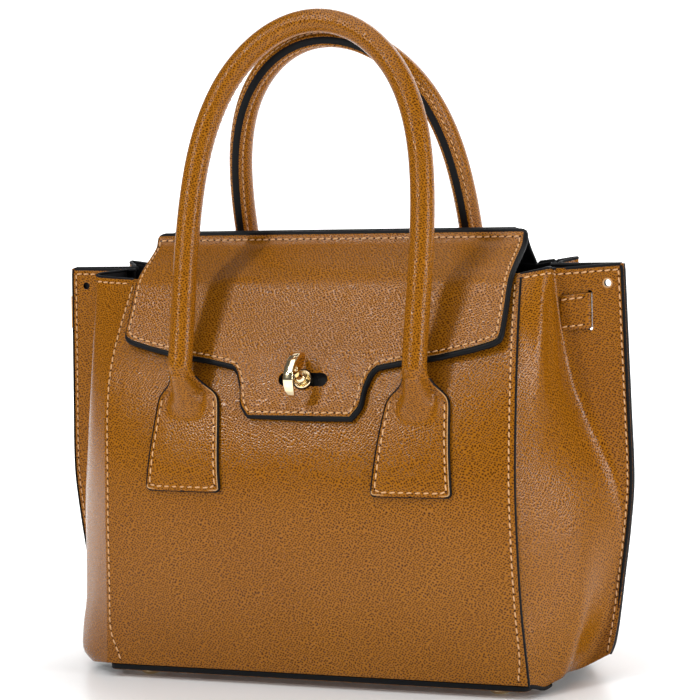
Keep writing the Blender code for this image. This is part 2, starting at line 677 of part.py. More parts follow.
def flap_layers(leather, black, parts, cutters):
    """The flap's outer leather and its lining, trimmed and slotted alike."""
    hinge = bpy.data.objects.new("flap_hinge", None)
    link(hinge, parts)
    hinge.location = (0, HINGE_Y, HINGE_Z)
    half = (FLAP_LEATHER + GAP + FLAP_LINING) / 2
    rows = [row / FLAP_ROW_COUNT for row in range(FLAP_ROW_COUNT + 1)]
    trim = flat_outline(
        "flap_trim_cutter", flap_outline(), BODY_DEPTH, cutters,
        matrix=Matrix.Translation((0, -BODY_DEPTH / 2, 0)) @ Matrix.Rotation(math.radians(90), 4, "X"),
    )
    slot = flat_outline(
        "flap_slot_cutter", stadium(SLOT_LENGTH, SLOT_HEIGHT), CUTTER_DEPTH, cutters, matrix=lock_frame(),
    )
    eye = flat_outline(
        "flap_eye_cutter", circle(SLOT_EYE_RADIUS, ROUND_SEGMENTS), CUTTER_DEPTH, cutters, matrix=lock_frame(),
    )
    layers = (
        ("flap_leather", -half, FLAP_LEATHER, leather),
        ("flap_lining", FLAP_LEATHER + GAP - half, FLAP_LINING, black),
    )
    for name, inset, thickness, finish in layers:
        layer = leather_sheet(
            name, lambda across, down, inset=inset: offset_point(flap_surface, across, down, -inset)
            - Vector((0, HINGE_Y, HINGE_Z)),
            FLAP_COLUMN_SHARES, rows, thickness, finish, parts, True,
        )
        layer.parent = hinge
        for cutter in (trim, slot, eye):
            cut(layer, hide_cutter(cutter))


def turn_lock(brass, parts, cutters, sheets):
    """The boss riveted through the front panel, its back plate, and the knob that turns on it."""
    frame = lock_frame()
    inner = PANEL_LEATHER + GAP + LINING_LEATHER + GAP
    plate = inner + BACK_PLATE_THICKNESS
    profile = [(0, BOSS_HEIGHT)]
    profile += [(BOSS_RADIUS * across, BOSS_HEIGHT * up) for across, up in BOSS_DOME_SHARES]
    profile += [(BOSS_RADIUS, GAP), (SHANK_RADIUS, GAP), (SHANK_RADIUS, -plate - GAP), (0, -plate - GAP)]
    boss = turned("lock_boss", profile, parts, brass)
    boss.matrix_world = frame
    bore = SHANK_RADIUS + SHANK_CLEARANCE
    back_plate = turned(
        "lock_back_plate", [
            (bore, -inner), (BACK_PLATE_RADIUS, -inner), (BACK_PLATE_RADIUS, -plate), (bore, -plate),
        ], parts, brass, closed=True,
    )
    back_plate.matrix_world = frame
    shank = flat_outline(
        "lock_shank_cutter", circle(bore), CUTTER_DEPTH / 2, cutters, matrix=frame,
    )
    hide_cutter(shank)
    cut(sheets["front"], shank)
    cut(sheets["front_lining"], shank)

    foot = BOSS_HEIGHT + GAP
    stem_top = KNOB_REACH - KNOB_THICKNESS / 2
    profile = [(0, stem_top), (KNOB_STEM_RADIUS, stem_top)]
    profile += [
        (KNOB_COLLAR_RADIUS * across, foot + KNOB_COLLAR_HEIGHT * up) for across, up in KNOB_COLLAR_SHARES
    ]
    knob = turned("lock_knob", profile + [(0, foot)], parts, brass)
    knob.matrix_world = frame
    outer = []
    for step in range(KNOB_STEPS + 1):
        share = 2 * step / KNOB_STEPS - 1
        outer.append((share * KNOB_LENGTH / 2, KNOB_REACH - KNOB_SAG * share * share))
    arch = outer + [(x, height - KNOB_THICKNESS) for x, height in reversed(outer)]
    bar = flat_outline(
        "knob_bar_cutter", arch, KNOB_WIDTH, cutters,
        matrix=frame @ Matrix.Rotation(math.radians(90), 4, "Z") @ Matrix.Rotation(math.radians(90), 4, "X"),
    )
    bevel = bar.modifiers.new("round", "BEVEL")
    bevel.width = KNOB_ROUNDING
    bevel.segments = 2
    bevel.limit_method = "ANGLE"
    cut(knob, hide_cutter(bar), "UNION")


def pivot_point(side):
    """Middle of a handle's tilt axis, where the roll stands on its tab."""
    across = HANDLE_SPAN / BODY_WIDTH / table_value(FRONT_WIDTH_SHARES, PIVOT_UP_SHARE)
    stand = GAP + TAB_LEATHER + PIVOT_STAND + GAP + HANDLE_RADIUS
    point = panel_point(-1, across, PIVOT_UP_SHARE, -stand)
    return Vector((0, -side * point.y, point.z))


def handle_frame(side):
    """Matrix of a handle: origin on its tilt axis, local Y up the handle, local Z away from the bag."""
    lean = FRONT_HANDLE_LEAN if side < 0 else BACK_HANDLE_LEAN
    up = Vector((0, -side * math.sin(lean), math.cos(lean)))
    outward = Vector((0, side * math.cos(lean), math.sin(lean)))
    across = up.cross(outward)
    frame = Matrix((across, up, outward)).transposed().to_4x4()
    frame.translation = pivot_point(side)
    return frame


def handle_arch(side):
    """Middle line of a handle as plane points, from one foot over the arch to the other."""
    height = FRONT_HANDLE_RISE if side < 0 else BACK_HANDLE_RISE
    last = len(HANDLE_RISE_SHARES) - 1
    rise = list(HANDLE_RISE_SHARES) + list(HANDLE_RISE_SHARES[-2::-1])
    span = list(HANDLE_SPAN_SHARES) + [-share for share in HANDLE_SPAN_SHARES[-2::-1]]
    points = []
    for step in range(2 * last * HANDLE_STEPS + 1):
        at = step / HANDLE_STEPS
        x = HANDLE_SPAN / 2 * table_value(list(enumerate(span)), at)
        points.append((x, height * table_value(list(enumerate(rise)), at)))
    return points


def handle_roll(name, side, leather, parts):
    """The rolled leather tube of a handle, with a round end on its tilt axis at each foot."""
    arch = handle_arch(side)
    ends = [(-math.cos(math.radians(angle)), math.sin(math.radians(angle))) for angle in HANDLE_END_ANGLES]
    route = [(arch[0][0], HANDLE_RADIUS * drop, size) for drop, size in ends]
    route += [(x, y, 1) for x, y in arch]
    route += [(arch[-1][0], HANDLE_RADIUS * drop, size) for drop, size in reversed(ends)]
    curve = bpy.data.curves.new(name, "CURVE")
    curve.dimensions = "3D"
    curve.bevel_depth = HANDLE_RADIUS
    curve.bevel_resolution = 3
    curve.use_fill_caps = True
    spline = curve.splines.new("POLY")
    spline.points.add(len(route) - 1)
    for target, (x, y, size) in zip(spline.points, route):
        target.co = (x, y, 0, 1)
        target.radius = size
    return curve_to_mesh(name, curve, parts, leather, handle_frame(side))


def handle_seam(name, side, black, parts):
    """The painted raw seam that stands on the inner side of a handle's roll."""
    arch = handle_arch(side)
    line = [point for point in arch if point[1] >= SEAM_START]
    outer = []
    inner = []
    for index, (x, y) in enumerate(line):
        before = Vector(line[max(index - 1, 0)])
        after = Vector(line[min(index + 1, len(line) - 1)])
        along = (after - before).normalized()
        normal = Vector((along.y, -along.x)) * SEAM_WIDTH / 2
        outer.append((x + normal.x, y + normal.y))
        inner.append((x - normal.x, y - normal.y))
    depth = HANDLE_RADIUS + GAP + SEAM_DEPTH / 2
    place = handle_frame(side) @ Matrix.Translation((0, 0, -depth))
    return flat_outline(name, outer + inner[::-1], SEAM_DEPTH, parts, black, place)


def tab_point(side, hand, column, row, stand, dome):
    """A point of a handle tab, at a stand above the panel: column -1..1, row 0..1 up the tab."""
    height = FRONT_HEIGHT if side < 0 else BACK_HEIGHT
    z = mix(TAB_BOTTOM_Z, TAB_TOP_Z, row)
    up = (z - BODY_BOTTOM_Z) / height
    widths = FRONT_WIDTH_SHARES if side < 0 else BACK_WIDTH_SHARES
    centre = mix(TAB_FOOT_X, HANDLE_SPAN / 2, row)
    x = hand * centre + column * TAB_WIDTH / 2 * table_value(TAB_WIDTH_SHARES, row)
    across = x / (BODY_WIDTH / 2 * table_value(widths, up))
    distance = math.hypot(x - hand * HANDLE_SPAN / 2, z - pivot_point(side).z + DOME_DROP) / DOME_REACH
    swell = dome * max(1 - distance * distance, 0) ** 2
    return panel_point(side, across, up, -(stand + swell))


def handle_tabs(leather, parts, cutters):
    """The four stitched tabs, each with the dome and the seat of its handle's foot."""
    columns = [2 * column / TAB_COLUMN_COUNT - 1 for column in range(TAB_COLUMN_COUNT + 1)]
    for side, side_name in ((-1, "front"), (1, "back")):
        frame = handle_frame(side)
        for hand, hand_name in ((-1, "left"), (1, "right")):
            tab = moulded_slab(
                f"{side_name}_{hand_name}_tab",
                lambda column, row, side=side, hand=hand: tab_point(
                    side, hand, column, row, GAP + TAB_LEATHER, DOME_HEIGHT),
                lambda column, row, side=side, hand=hand: tab_point(side, hand, column, row, GAP, 0),
                columns, TAB_HEIGHT_SHARES, leather, parts, side > 0,
            )
            foot = Vector((hand * HANDLE_SPAN / 2, pivot_point(side).y, pivot_point(side).z))
            for turn_name, turn in (("rest", 0), ("folded", HANDLE_SWING)):
                seat = swept_foot(f"{side_name}_{hand_name}_{turn_name}_cutter", cutters)
                swing = Matrix.Rotation(-side * turn, 4, "X") @ frame.to_3x3().to_4x4()
                seat.matrix_world = Matrix.Translation(foot) @ swing
                cut(tab, hide_cutter(seat))


def swept_foot(name, cutters):
    """Cutter of the size of a handle's foot and of the first stretch of its leg, with clearance."""
    radius = HANDLE_RADIUS + GAP
    bm = bmesh.new()
    bmesh.ops.create_uvsphere(bm, u_segments=SMALL_SEGMENTS, v_segments=SMALL_SEGMENTS, radius=radius)
    bmesh.ops.rotate(bm, verts=bm.verts, matrix=Matrix.Rotation(math.radians(90), 3, "X"))
    for vertex in bm.verts:
        if vertex.co.y > WELD:
            vertex.co.y += SEAT_RUN
    return mesh_object(name, bm, cutters)


def build():
    """Build the whole bag."""
    for thing in list(bpy.data.objects):
        bpy.data.objects.remove(thing)
    parts = bpy.data.collections.new("leather_handbag")
    cutters = bpy.data.collections.new("cutters")
    for collection in (parts, cutters):
        bpy.context.scene.collection.children.link(collection)

    leather = material("cognac_leather", (0.36, 0.15, 0.04), 0.45)
    black = material("black_lining", (0.012, 0.012, 0.016), 0.7)
    board = material("fibre_board", (0.05, 0.045, 0.04), 0.9)
    brass = material("pale_gold", (0.83, 0.67, 0.4), 0.2, 1.0)

    sheets = panel_sheets(leather, black, parts)
    gusset_halves(leather, parts, cutters)
    side_straps(leather, parts)
    base_and_feet(leather, board, brass, parts, cutters)
    flap_layers(leather, black, parts, cutters)
    turn_lock(brass, parts, cutters, sheets)
    handle_tabs(leather, parts, cutters)
    for side, name in ((-1, "front_handle"), (1, "back_handle")):
        pivot = pivot_point(side)
        axis = bpy.data.objects.new(name + "_axis", None)
        link(axis, parts)
        axis.location = pivot
        for piece in (
            handle_roll(name + "_roll", side, leather, parts),
            handle_seam(name + "_seam", side, black, parts),
        ):
            piece.parent = axis
            piece.matrix_parent_inverse = Matrix.Translation(-pivot)


build()
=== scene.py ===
"""Looks of the leather handbag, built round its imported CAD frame. Lengths are in metres."""

import json
from functools import partial
from math import atan2, copysign, cos, dist, exp, pi, radians, sin, sqrt, tau

import bmesh
import bpy
from mathutils import Matrix, Vector, noise


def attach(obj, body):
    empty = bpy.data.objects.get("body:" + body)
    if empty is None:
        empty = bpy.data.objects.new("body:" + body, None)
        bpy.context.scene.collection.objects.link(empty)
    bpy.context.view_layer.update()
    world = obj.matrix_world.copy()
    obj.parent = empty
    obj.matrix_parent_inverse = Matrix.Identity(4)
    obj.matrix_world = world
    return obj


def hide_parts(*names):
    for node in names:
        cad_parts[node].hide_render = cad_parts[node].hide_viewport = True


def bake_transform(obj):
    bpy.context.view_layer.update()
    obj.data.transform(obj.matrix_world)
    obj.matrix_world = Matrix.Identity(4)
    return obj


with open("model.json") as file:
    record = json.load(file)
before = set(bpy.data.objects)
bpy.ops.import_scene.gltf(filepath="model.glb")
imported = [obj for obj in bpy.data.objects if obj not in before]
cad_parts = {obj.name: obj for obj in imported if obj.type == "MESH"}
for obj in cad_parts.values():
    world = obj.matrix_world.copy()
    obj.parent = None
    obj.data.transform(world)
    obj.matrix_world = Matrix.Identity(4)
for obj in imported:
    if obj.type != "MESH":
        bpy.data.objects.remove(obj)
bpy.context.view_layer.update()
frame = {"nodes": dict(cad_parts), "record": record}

MM = 0.001

# Sizes and forms. The sizes follow the part's source. The tables that shape soft leather are fitted closer here.
BODY_WIDTH, BODY_DEPTH, BODY_BOTTOM_Z = 290 * MM, 130 * MM, 9.3 * MM
FRONT_HEIGHT, BACK_HEIGHT = 249 * MM, 278.5 * MM
PANEL_LEATHER, LINING_LEATHER, GUSSET_LEATHER, GAP = 2.2 * MM, 1.2 * MM, 2 * MM, 0.3 * MM
# Panels: half widths and depths as shares of the body's, by height.
FRONT_WIDTHS = ((0, 1), (0.2, 0.978), (0.44, 0.966), (0.75, 0.955), (1, 0.917))
FRONT_EDGES = ((0, 1), (0.2, 1.03), (0.44, 1.02), (0.6, 0.95), (0.75, 0.81), (0.87, 0.6), (1, 0.3))
FRONT_CENTRES = ((0, 1), (0.2, 1.09), (0.4, 1.125), (0.525, 1.1), (0.655, 0.985), (0.75, 0.846), (0.834, 0.69),
                 (0.926, 0.477), (1, 0.31))
BACK_WIDTHS = ((0, 1), (0.18, 0.978), (0.39, 0.966), (0.667, 0.955), (0.888, 0.917), (1, 0.897))
BACK_EDGES = ((0, 1), (0.18, 1.03), (0.39, 1.04), (0.53, 0.97), (0.667, 0.85), (0.788, 0.68), (0.888, 0.46),
              (0.95, 0.33), (1, 0.255))
BACK_CENTRES = ((0, 1), (0.18, 1.09), (0.36, 1.125), (0.467, 1.1), (0.58, 0.985), (0.667, 0.865), (0.742, 0.72),
                (0.824, 0.55), (0.888, 0.42), (0.95, 0.31), (1, 0.255))
# Gussets: where the wing and the crease beside it stand, and how far the leather bulges, by height.
WING_REACH, WING_TOP_Z, WING_LEAN = 196.5 * MM, 264.5 * MM, 6 * MM
WING_ROWS = (0, 0.03, 0.08, 0.16, 0.26, 0.37, 0.48, 0.66, 0.8, 1)
WING_REACHES = tuple(zip(WING_ROWS, (0.915, 0.921, 0.93, 0.945, 0.965, 0.986, 1, 0.995, 0.99, 0.983)))
WING_HEIGHTS = tuple(zip(WING_ROWS, (0.066, 0.075, 0.095, 0.152, 0.257, 0.37, 0.484, 0.669, 0.803, 1)))
CREASES = ((0, 0.8), (0.03, 0.822), (0.08, 0.855), (0.16, 0.898), (0.26, 0.934), (0.37, 0.96), (0.48, 0.94),
           (0.58, 0.875), (0.66, 0.825), (0.73, 0.79), (0.8, 0.768), (0.9, 0.748), (1, 0.738))
WING_STANDS = ((0, 1.9), (0.08, 1.8), (0.2, 1.3), (0.3, 1.07), (0.66, 1.06), (1, 1.08))
GUSSET_BULGE = 15 * MM
BULGE_LEAN = 0.4
BULGE_ROWS = (0, 0.03, 0.08, 0.16, 0.26, 0.37, 0.48, 0.58, 0.66, 0.8, 0.9, 1)
LEFT_BULGES = tuple(zip(BULGE_ROWS, (1.3, 1.5, 1.26, 0.84, 0.6, 0.42, 0.52, 0.84, 1.06, 1.35, 1.6, 1.8)))
RIGHT_BULGES = tuple(zip(BULGE_ROWS, (0.15, 0.22, 0.34, 0.42, 0.4, 0.24, 0.14, 0.2, 0.3, 0.53, 0.64, 0.7)))
REAR_BULGES = tuple(zip(BULGE_ROWS, (0.4, 0.6, 0.67, 0.6, 0.4, 0.24, 0.16, 0.24, 0.4, 0.8, 1.15, 1.5)))
REAR_TOP, REAR_RIDGE = 0.92, 3 * MM
# Flap, handles and lock
HINGE = Vector((0, 12 * MM, 286 * MM))
FLAP_HALF = 130 * MM
FLAP_LEATHER, FLAP_LINING = 2 * MM, 1.6 * MM
HANDLE_RADIUS = 7.75 * MM
HANDLE_RISES = (0, 0.0875, 0.242, 0.458, 0.648, 0.752, 0.844, 0.917, 0.969, 1)
HANDLE_SPANS = (1, 1, 1, 1.02, 0.972, 0.872, 0.752, 0.548, 0.332, 0)
HANDLE_HALF = 79.5 * MM
HANDLE_LEANS = {-1: radians(14.3), 1: radians(17.7)}
HANDLE_HEIGHTS = {-1: 248.5 * MM, 1: 243 * MM}
PIVOT = Vector((0, -77.542 * MM, 182.166 * MM))
LOCK_UP = 0.75
SURFACE_STEP = 0.002


def table_value(table, share):
    """Smooth value of a table of (share, value) pairs."""
    places = [row[0] for row in table]
    values = [row[1] for row in table]
    share = min(max(share, places[0]), places[-1])
    index = 0
    while index < len(table) - 2 and share > places[index + 1]:
        index += 1
    slopes = []
    for at in (index, index + 1):
        before, after = max(at - 1, 0), min(at + 1, len(table) - 1)
        slopes.append((values[after] - values[before]) / (places[after] - places[before]))
    step = places[index + 1] - places[index]
    t = (share - places[index]) / step
    start = (1 + 2 * t) * (1 - t) ** 2 * values[index] + t * (1 - t) ** 2 * step * slopes[0]
    return start + t * t * (3 - 2 * t) * values[index + 1] + t * t * (t - 1) * step * slopes[1]


def mix(a, b, share):
    return a + (b - a) * share


def smooth(low, high, value):
    t = min(max((value - low) / (high - low), 0), 1)
    return t * t * (3 - 2 * t)


def spread(start, end, count):
    return [mix(start, end, step / count) for step in range(count + 1)]


def wander(point, size, height, seed=0.0):
    """Soft unevenness of hand-made leather: a smooth random height at a point."""
    return height * noise.noise(Vector((point.x / size + seed, point.y / size, point.z / size)))


def normal_at(surface, first, second):
    """Unit normal of a surface function of two parameters."""
    along = surface(first + SURFACE_STEP, second) - surface(first - SURFACE_STEP, second)
    upward = surface(first, second + SURFACE_STEP) - surface(first, second - SURFACE_STEP)
    return along.cross(upward).normalized()


def facing(normal, way):
    """A normal, reversed where it points away from a direction."""
    return -normal if normal.dot(way) < 0 else normal


def offset_point(surface, first, second, inset):
    return surface(first, second) - normal_at(surface, first, second) * inset


def surface_path(surface, params, sign):
    """Path of (point, normal) over a surface. The sign turns the normals outwards."""
    return [(surface(first, second), normal_at(surface, first, second) * sign) for first, second in params]


def panel_surface(side):
    widths, edges, centres, height = (
        (FRONT_WIDTHS, FRONT_EDGES, FRONT_CENTRES, FRONT_HEIGHT) if side < 0
        else (BACK_WIDTHS, BACK_EDGES, BACK_CENTRES, BACK_HEIGHT))

    def point(across, up):
        half = BODY_WIDTH / 2 * table_value(widths, up)
        crown = 1 - min(abs(across), 1) ** 4
        depth = BODY_DEPTH / 2 * mix(table_value(edges, up), table_value(centres, up), crown)
        if side < 0 and across < 0:
            half *= 1 + 0.03 * smooth(0.45, 0.85, up) * min(abs(across), 1)
        made = Vector((half * across, side * depth, BODY_BOTTOM_Z + height * up))
        if side > 0:
            made.z -= 5 * MM * smooth(0.93, 1, abs(across)) ** 2 * smooth(0.9, 1, up)
            made.x *= 1 - 0.02 * smooth(0.8, 1, up)
        made.y += wander(made, 0.07, 0.7 * MM, 3.0) * crown * sin(pi * min(max(up, 0), 1))
        return made

    return point


def panel_point(side, across, up, inset=0.0):
    return offset_point(panel_surface(side), across, up, inset * -side)


# Materials

def nodes_of(material):
    material.use_nodes = True
    tree = material.node_tree
    return tree, tree.nodes["Principled BSDF"]


def feed(tree, value, socket):
    """Link an output to an input, or set the input to a plain value."""
    if isinstance(value, bpy.types.NodeSocket):
        tree.links.new(value, socket)
    else:
        socket.default_value = value


def node(tree, kind, **values):
    """A node. Each value goes to the input of its name, or else to the property."""
    made = tree.nodes.new(kind)
    for name, value in values.items():
        if name in made.inputs:
            feed(tree, value, made.inputs[name])
        else:
            setattr(made, name, value)
    return made


def set_shader(tree, shader, values):
    for name, value in values.items():
        feed(tree, value, shader.inputs[name])


def ramp(tree, source, stops):
    made = node(tree, "ShaderNodeValToRGB", Fac=source)
    elements = made.color_ramp.elements
    while len(elements) < len(stops):
        elements.new(0.5)
    for element, (place, colour) in zip(elements, stops):
        element.position = place
        element.color = (*colour, 1)
    return made.outputs["Color"]


def noise_of(tree, vector, scale, detail):
    return node(tree, "ShaderNodeTexNoise", Vector=vector, Scale=scale, Detail=detail)


def vector_math(tree, operation, *operands):
    made = node(tree, "ShaderNodeVectorMath", operation=operation)
    for socket, operand in zip(made.inputs, operands):
        feed(tree, operand, socket)
    return made.outputs[0]


def mix_colours(tree, factor, first, second, blend_type="MIX"):
    made = node(tree, "ShaderNodeMix", data_type="RGBA", blend_type=blend_type)
    for index, value in ((0, factor), (6, first), (7, second)):
        feed(tree, value, made.inputs[index])
    return made.outputs[2]


def bump(tree, height, strength, distance):
    return node(tree, "ShaderNodeBump", Height=height, Strength=strength, Distance=distance)


def grey(value):
    return (value, value, value)


def leather(name, light, dark, pit, roughness=0.21, cell=1.62 * MM, depth=0.25 * MM):
    """Embossed leather: rice-shaped dark pits in wavering rows, on a soft, uneven, glossy ground."""
    material = bpy.data.materials.new(name)
    tree, shader = nodes_of(material)
    coords = node(tree, "ShaderNodeTexCoord")
    flat, local = coords.outputs["UV"], coords.outputs["Object"]
    centred = vector_math(tree, "SUBTRACT", noise_of(tree, flat, 90.0, 2.0).outputs["Color"], grey(0.5))
    wavering = vector_math(tree, "ADD", flat, vector_math(tree, "MULTIPLY", centred, grey(0.006)))
    stretch = node(tree, "ShaderNodeMapping", Vector=wavering, Scale=(0.9 / cell, 1.12 / cell, 1),
                   Rotation=(0, 0, 0.5))
    cells = node(tree, "ShaderNodeTexVoronoi", feature="F1", voronoi_dimensions="2D",
                 Vector=stretch.outputs[0], Scale=1.0, Randomness=0.5).outputs["Distance"]
    broad = noise_of(tree, local, 9.0, 3.0).outputs["Fac"]
    fine = noise_of(tree, local, 700.0, 4.0).outputs["Fac"]
    ground = ramp(tree, broad, [(0.3, dark), (0.7, light)])
    dust = ramp(tree, fine, [(0.3, grey(0.8)), (0.65, grey(1))])
    mottled = mix_colours(tree, 0.5, ground, dust, "MULTIPLY")
    pits = ramp(tree, cells, [(0.17, grey(1)), (0.41, grey(0))])
    domes = bump(tree, ramp(tree, cells, [(0, grey(0)), (0.3, grey(0.55)), (0.75, grey(1))]), 0.48, depth)
    pores = bump(tree, fine, 0.25, 0.06 * MM)
    tree.links.new(domes.outputs[0], pores.inputs["Normal"])
    set_shader(tree, shader, {
        "Base Color": mix_colours(tree, pits, mottled, (*pit, 1)),
        "Roughness": ramp(tree, fine, [(0.3, grey(roughness - 0.07)), (0.7, grey(roughness + 0.1))]),
        "Normal": pores.outputs[0],
        "Specular IOR Level": 0.2})
    return material


def plain(name, light, dark, roughness, scale=400.0, relief=0.2, metallic=0.0, specular=0.25):
    """A finish with fine mottling in its colour, gloss and height."""
    material = bpy.data.materials.new(name)
    tree, shader = nodes_of(material)
    grain = noise_of(tree, node(tree, "ShaderNodeTexCoord").outputs["Object"], scale, 4.0).outputs["Fac"]
    set_shader(tree, shader, {
        "Base Color": ramp(tree, grain, [(0.3, dark), (0.7, light)]),
        "Roughness": ramp(tree, grain, [(0.3, grey(roughness * 0.85)), (0.7, grey(min(roughness * 1.2, 1)))]),
        "Normal": bump(tree, grain, relief, 0.1 * MM).outputs[0],
        "Specular IOR Level": specular,
        "Metallic": metallic})
    return material


TAN = leather("cognac_leather_grain", (0.37, 0.136, 0.007), (0.325, 0.114, 0.005), (0.06, 0.014, 0.0005))
EDGE = plain("black_edge_paint", (0.006, 0.0065, 0.008), (0.003, 0.0035, 0.004), 0.5, 600.0, 0.3, specular=0.13)
LINING = plain("black_lining_leather", (0.012, 0.012, 0.014), (0.006, 0.006, 0.007), 0.6, 900.0, 0.5)
THREAD = plain("peach_thread", (0.76, 0.45, 0.21), (0.58, 0.31, 0.13), 0.6, 1800.0, 0.6)
# Needle holes: their dark colour is painted shade, standing in for the shade inside each hole.
HOLE = plain("needle_hole_painted_shade", (0.03, 0.008, 0.002), (0.016, 0.004, 0.001), 0.8, 900.0, 0.1)
GOLD = plain("pale_gold_polish", (0.97, 0.84, 0.56), (0.92, 0.76, 0.47), 0.1, 120.0, 0.04, 1.0)
BOARD = plain("fibre_board_fibres", (0.07, 0.06, 0.05), (0.03, 0.028, 0.024), 0.9, 500.0, 0.4)
# Pale rims of raw leather; on the tabs the pale rim is also a painted highlight.
RAW_RIM_AND_HIGHLIGHT = plain("raw_rim_and_painted_highlight", (0.62, 0.36, 0.16), (0.45, 0.24, 0.09), 0.7, 900.0, 0.4)


# Mesh helpers

def turns(count):
    """Even angles round a circle."""
    return [tau * step / count for step in range(count)]


def show(name, data):
    """A new object in the scene."""
    thing = bpy.data.objects.new(name, data)
    bpy.context.scene.collection.objects.link(thing)
    return thing


def show_mesh(name, bm, materials):
    mesh = bpy.data.meshes.new(name)
    bm.to_mesh(mesh)
    bm.free()
    for material in materials:
        mesh.materials.append(material)
    return show(name, mesh)


def add_object(name, bm, materials, body=None, crease=50):
    """A smooth-shaded object on a body. Without a body, the caller blends it or puts it on the stage."""
    thing = show_mesh(name, bm, materials)
    thing.data.shade_smooth()
    thing.data.set_sharp_from_angle(angle=radians(crease))
    if body:
        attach(thing, body)
    return thing


def lengths_along(points):
    total = [0.0]
    for here, there in zip(points, points[1:]):
        total.append(total[-1] + (there - here).length)
    return total


def grid_mesh(points, closed_rows=False, flip=False, origin=None, uvs=None):
    """A bmesh of a grid of points, with UVs in metres measured along its rows and up one column."""
    bm = bmesh.new()
    grid = [[bm.verts.new(point) for point in row] for row in points]
    uv = bm.loops.layers.uv.new("UVMap")
    count = len(points[0])
    if origin is None:
        origin = count // 2
    if uvs is None:
        up = lengths_along([row[origin] for row in points])
        uvs = []
        for row, rise in zip(points, up):
            across = lengths_along(row + [row[0]] if closed_rows else row)
            uvs.append([(length - across[origin], rise) for length in across])
    for row in range(len(points) - 1):
        for column in range(count if closed_rows else count - 1):
            after = (column + 1) % count
            ring = [(row, column, column), (row, after, column + 1), (row + 1, after, column + 1),
                    (row + 1, column, column)]
            if flip:
                ring.reverse()
            face = bm.faces.new([grid[r][c] for r, c, _ in ring])
            for loop, (r, _, c) in zip(face.loops, ring):
                loop[uv].uv = uvs[r][c]
    return bm, grid


def close_ends(bm, rows):
    """Cap both ends of a tube and turn its faces outwards."""
    bm.faces.new(rows[0])
    bm.faces.new(rows[-1][::-1])
    bmesh.ops.recalc_face_normals(bm, faces=bm.faces)


def bead(name, path, high, wide, body=None, closed=False, material=EDGE, blend=None):
    """A rounded, painted edge: an oval section swept along a path of (point, normal)."""
    grid = []
    last = len(path) - 1
    for index, (point, normal) in enumerate(path):
        before = path[index - 1 if closed else max(index - 1, 0)][0]
        after = path[(index + 1) % len(path) if closed else min(index + 1, last)][0]
        side = (after - before).normalized().cross(normal).normalized()
        grid.append([point + normal * high * sin(t) + side * wide * cos(t) for t in turns(12)])
    if closed:
        grid.append(grid[0])
    bm, verts = grid_mesh(grid, closed_rows=True)
    if closed:
        bmesh.ops.remove_doubles(bm, verts=bm.verts, dist=0.001 * MM)
        bmesh.ops.recalc_face_normals(bm, faces=bm.faces)
    else:
        close_ends(bm, verts)
    made = add_object(name, bm, [material], body)
    if blend:
        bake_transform(made)


def thicken(thing, thickness, even=False):
    """Give a sheet its thickness, with its second material inside and its third on the rim."""
    solid = thing.modifiers.new("thickness", "SOLIDIFY")
    solid.thickness = thickness
    solid.offset = -1
    solid.use_even_offset = even
    solid.material_offset = 1
    solid.material_offset_rim = 2


def round_edges(thing, width, segments=2, degrees=60):
    bevel = thing.modifiers.new("edges", "BEVEL")
    bevel.width = width
    bevel.segments = segments
    bevel.limit_method = "ANGLE"
    bevel.angle_limit = radians(degrees)


def sheet(name, point, columns, rows, thickness, body, replaced, finish=TAN, back=LINING, flip=False,
          rounding=0.35 * MM, rim=EDGE, uvs=None):
    """A leather sheet: grained outside, black inside, painted and rounded along its cut edges."""
    bm, _ = grid_mesh([[point(column, row) for column in columns] for row in rows], flip=flip, uvs=uvs)
    thing = add_object(name, bm, [finish, back, rim], body)
    thicken(thing, thickness, even=True)
    if rounding:
        round_edges(thing, rounding)
    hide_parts(replaced)
    return thing


def turned(name, profile, matrix, finish, body):
    """A turned piece, from a profile of (radius, height) in millimetres."""
    segments = 48
    bm = bmesh.new()
    rings = []
    for radius, height in profile:
        angles = turns(segments) if radius else [0]
        rings.append([bm.verts.new((radius * MM * cos(t), radius * MM * sin(t), height * MM))
                      for t in angles])
    for upper, lower in zip(rings, rings[1:]):
        for step in range(segments):
            after = (step + 1) % segments
            corners = [upper[step % len(upper)], lower[step % len(lower)], lower[after % len(lower)],
                       upper[after % len(upper)]]
            unique = list(dict.fromkeys(corners))
            if len(unique) > 2:
                bm.faces.new(unique)
    bmesh.ops.recalc_face_normals(bm, faces=bm.faces)
    bm.transform(matrix)
    return add_object(name, bm, [finish], body)


def prism_mesh(outline, low_z, high_z):
    """A bmesh of a straight prism, and its walls."""
    bm = bmesh.new()
    low = [bm.verts.new((x, y, low_z)) for x, y in outline]
    high = [bm.verts.new((x, y, high_z)) for x, y in outline]
    bm.faces.new(low[::-1])
    bm.faces.new(high)
    pairs = list(zip(low, high))
    walls = [bm.faces.new([a, c, d, b]) for (a, b), (c, d) in zip(pairs, pairs[1:] + pairs[:1])]
    return bm, walls


def prism(name, outline, matrix, depth, finish=EDGE):
    """A flat piece, or a cutter whose finish stays on the walls of its hole."""
    bm, _ = prism_mesh(outline, -depth, depth)
    bmesh.ops.recalc_face_normals(bm, faces=bm.faces)
    bm.transform(matrix)
    return show_mesh(name, bm, [finish])


def cut(thing, cutters):
    """Cut holes through an object, apply its modifiers and remove the cutters."""
    for cutter in cutters:
        boolean = thing.modifiers.new(cutter.name, "BOOLEAN")
        boolean.operation = "DIFFERENCE"
        boolean.solver = "EXACT"
        boolean.material_mode = "TRANSFER"
        boolean.object = cutter
    bpy.context.view_layer.update()
    evaluated = thing.evaluated_get(bpy.context.evaluated_depsgraph_get())
    mesh = bpy.data.meshes.new_from_object(evaluated)
    thing.modifiers.clear()
    thing.data = mesh
    for cutter in cutters:
        bpy.data.objects.remove(cutter)


def circle(radius, count=28):
    return [(radius * cos(t), radius * sin(t)) for t in turns(count)]


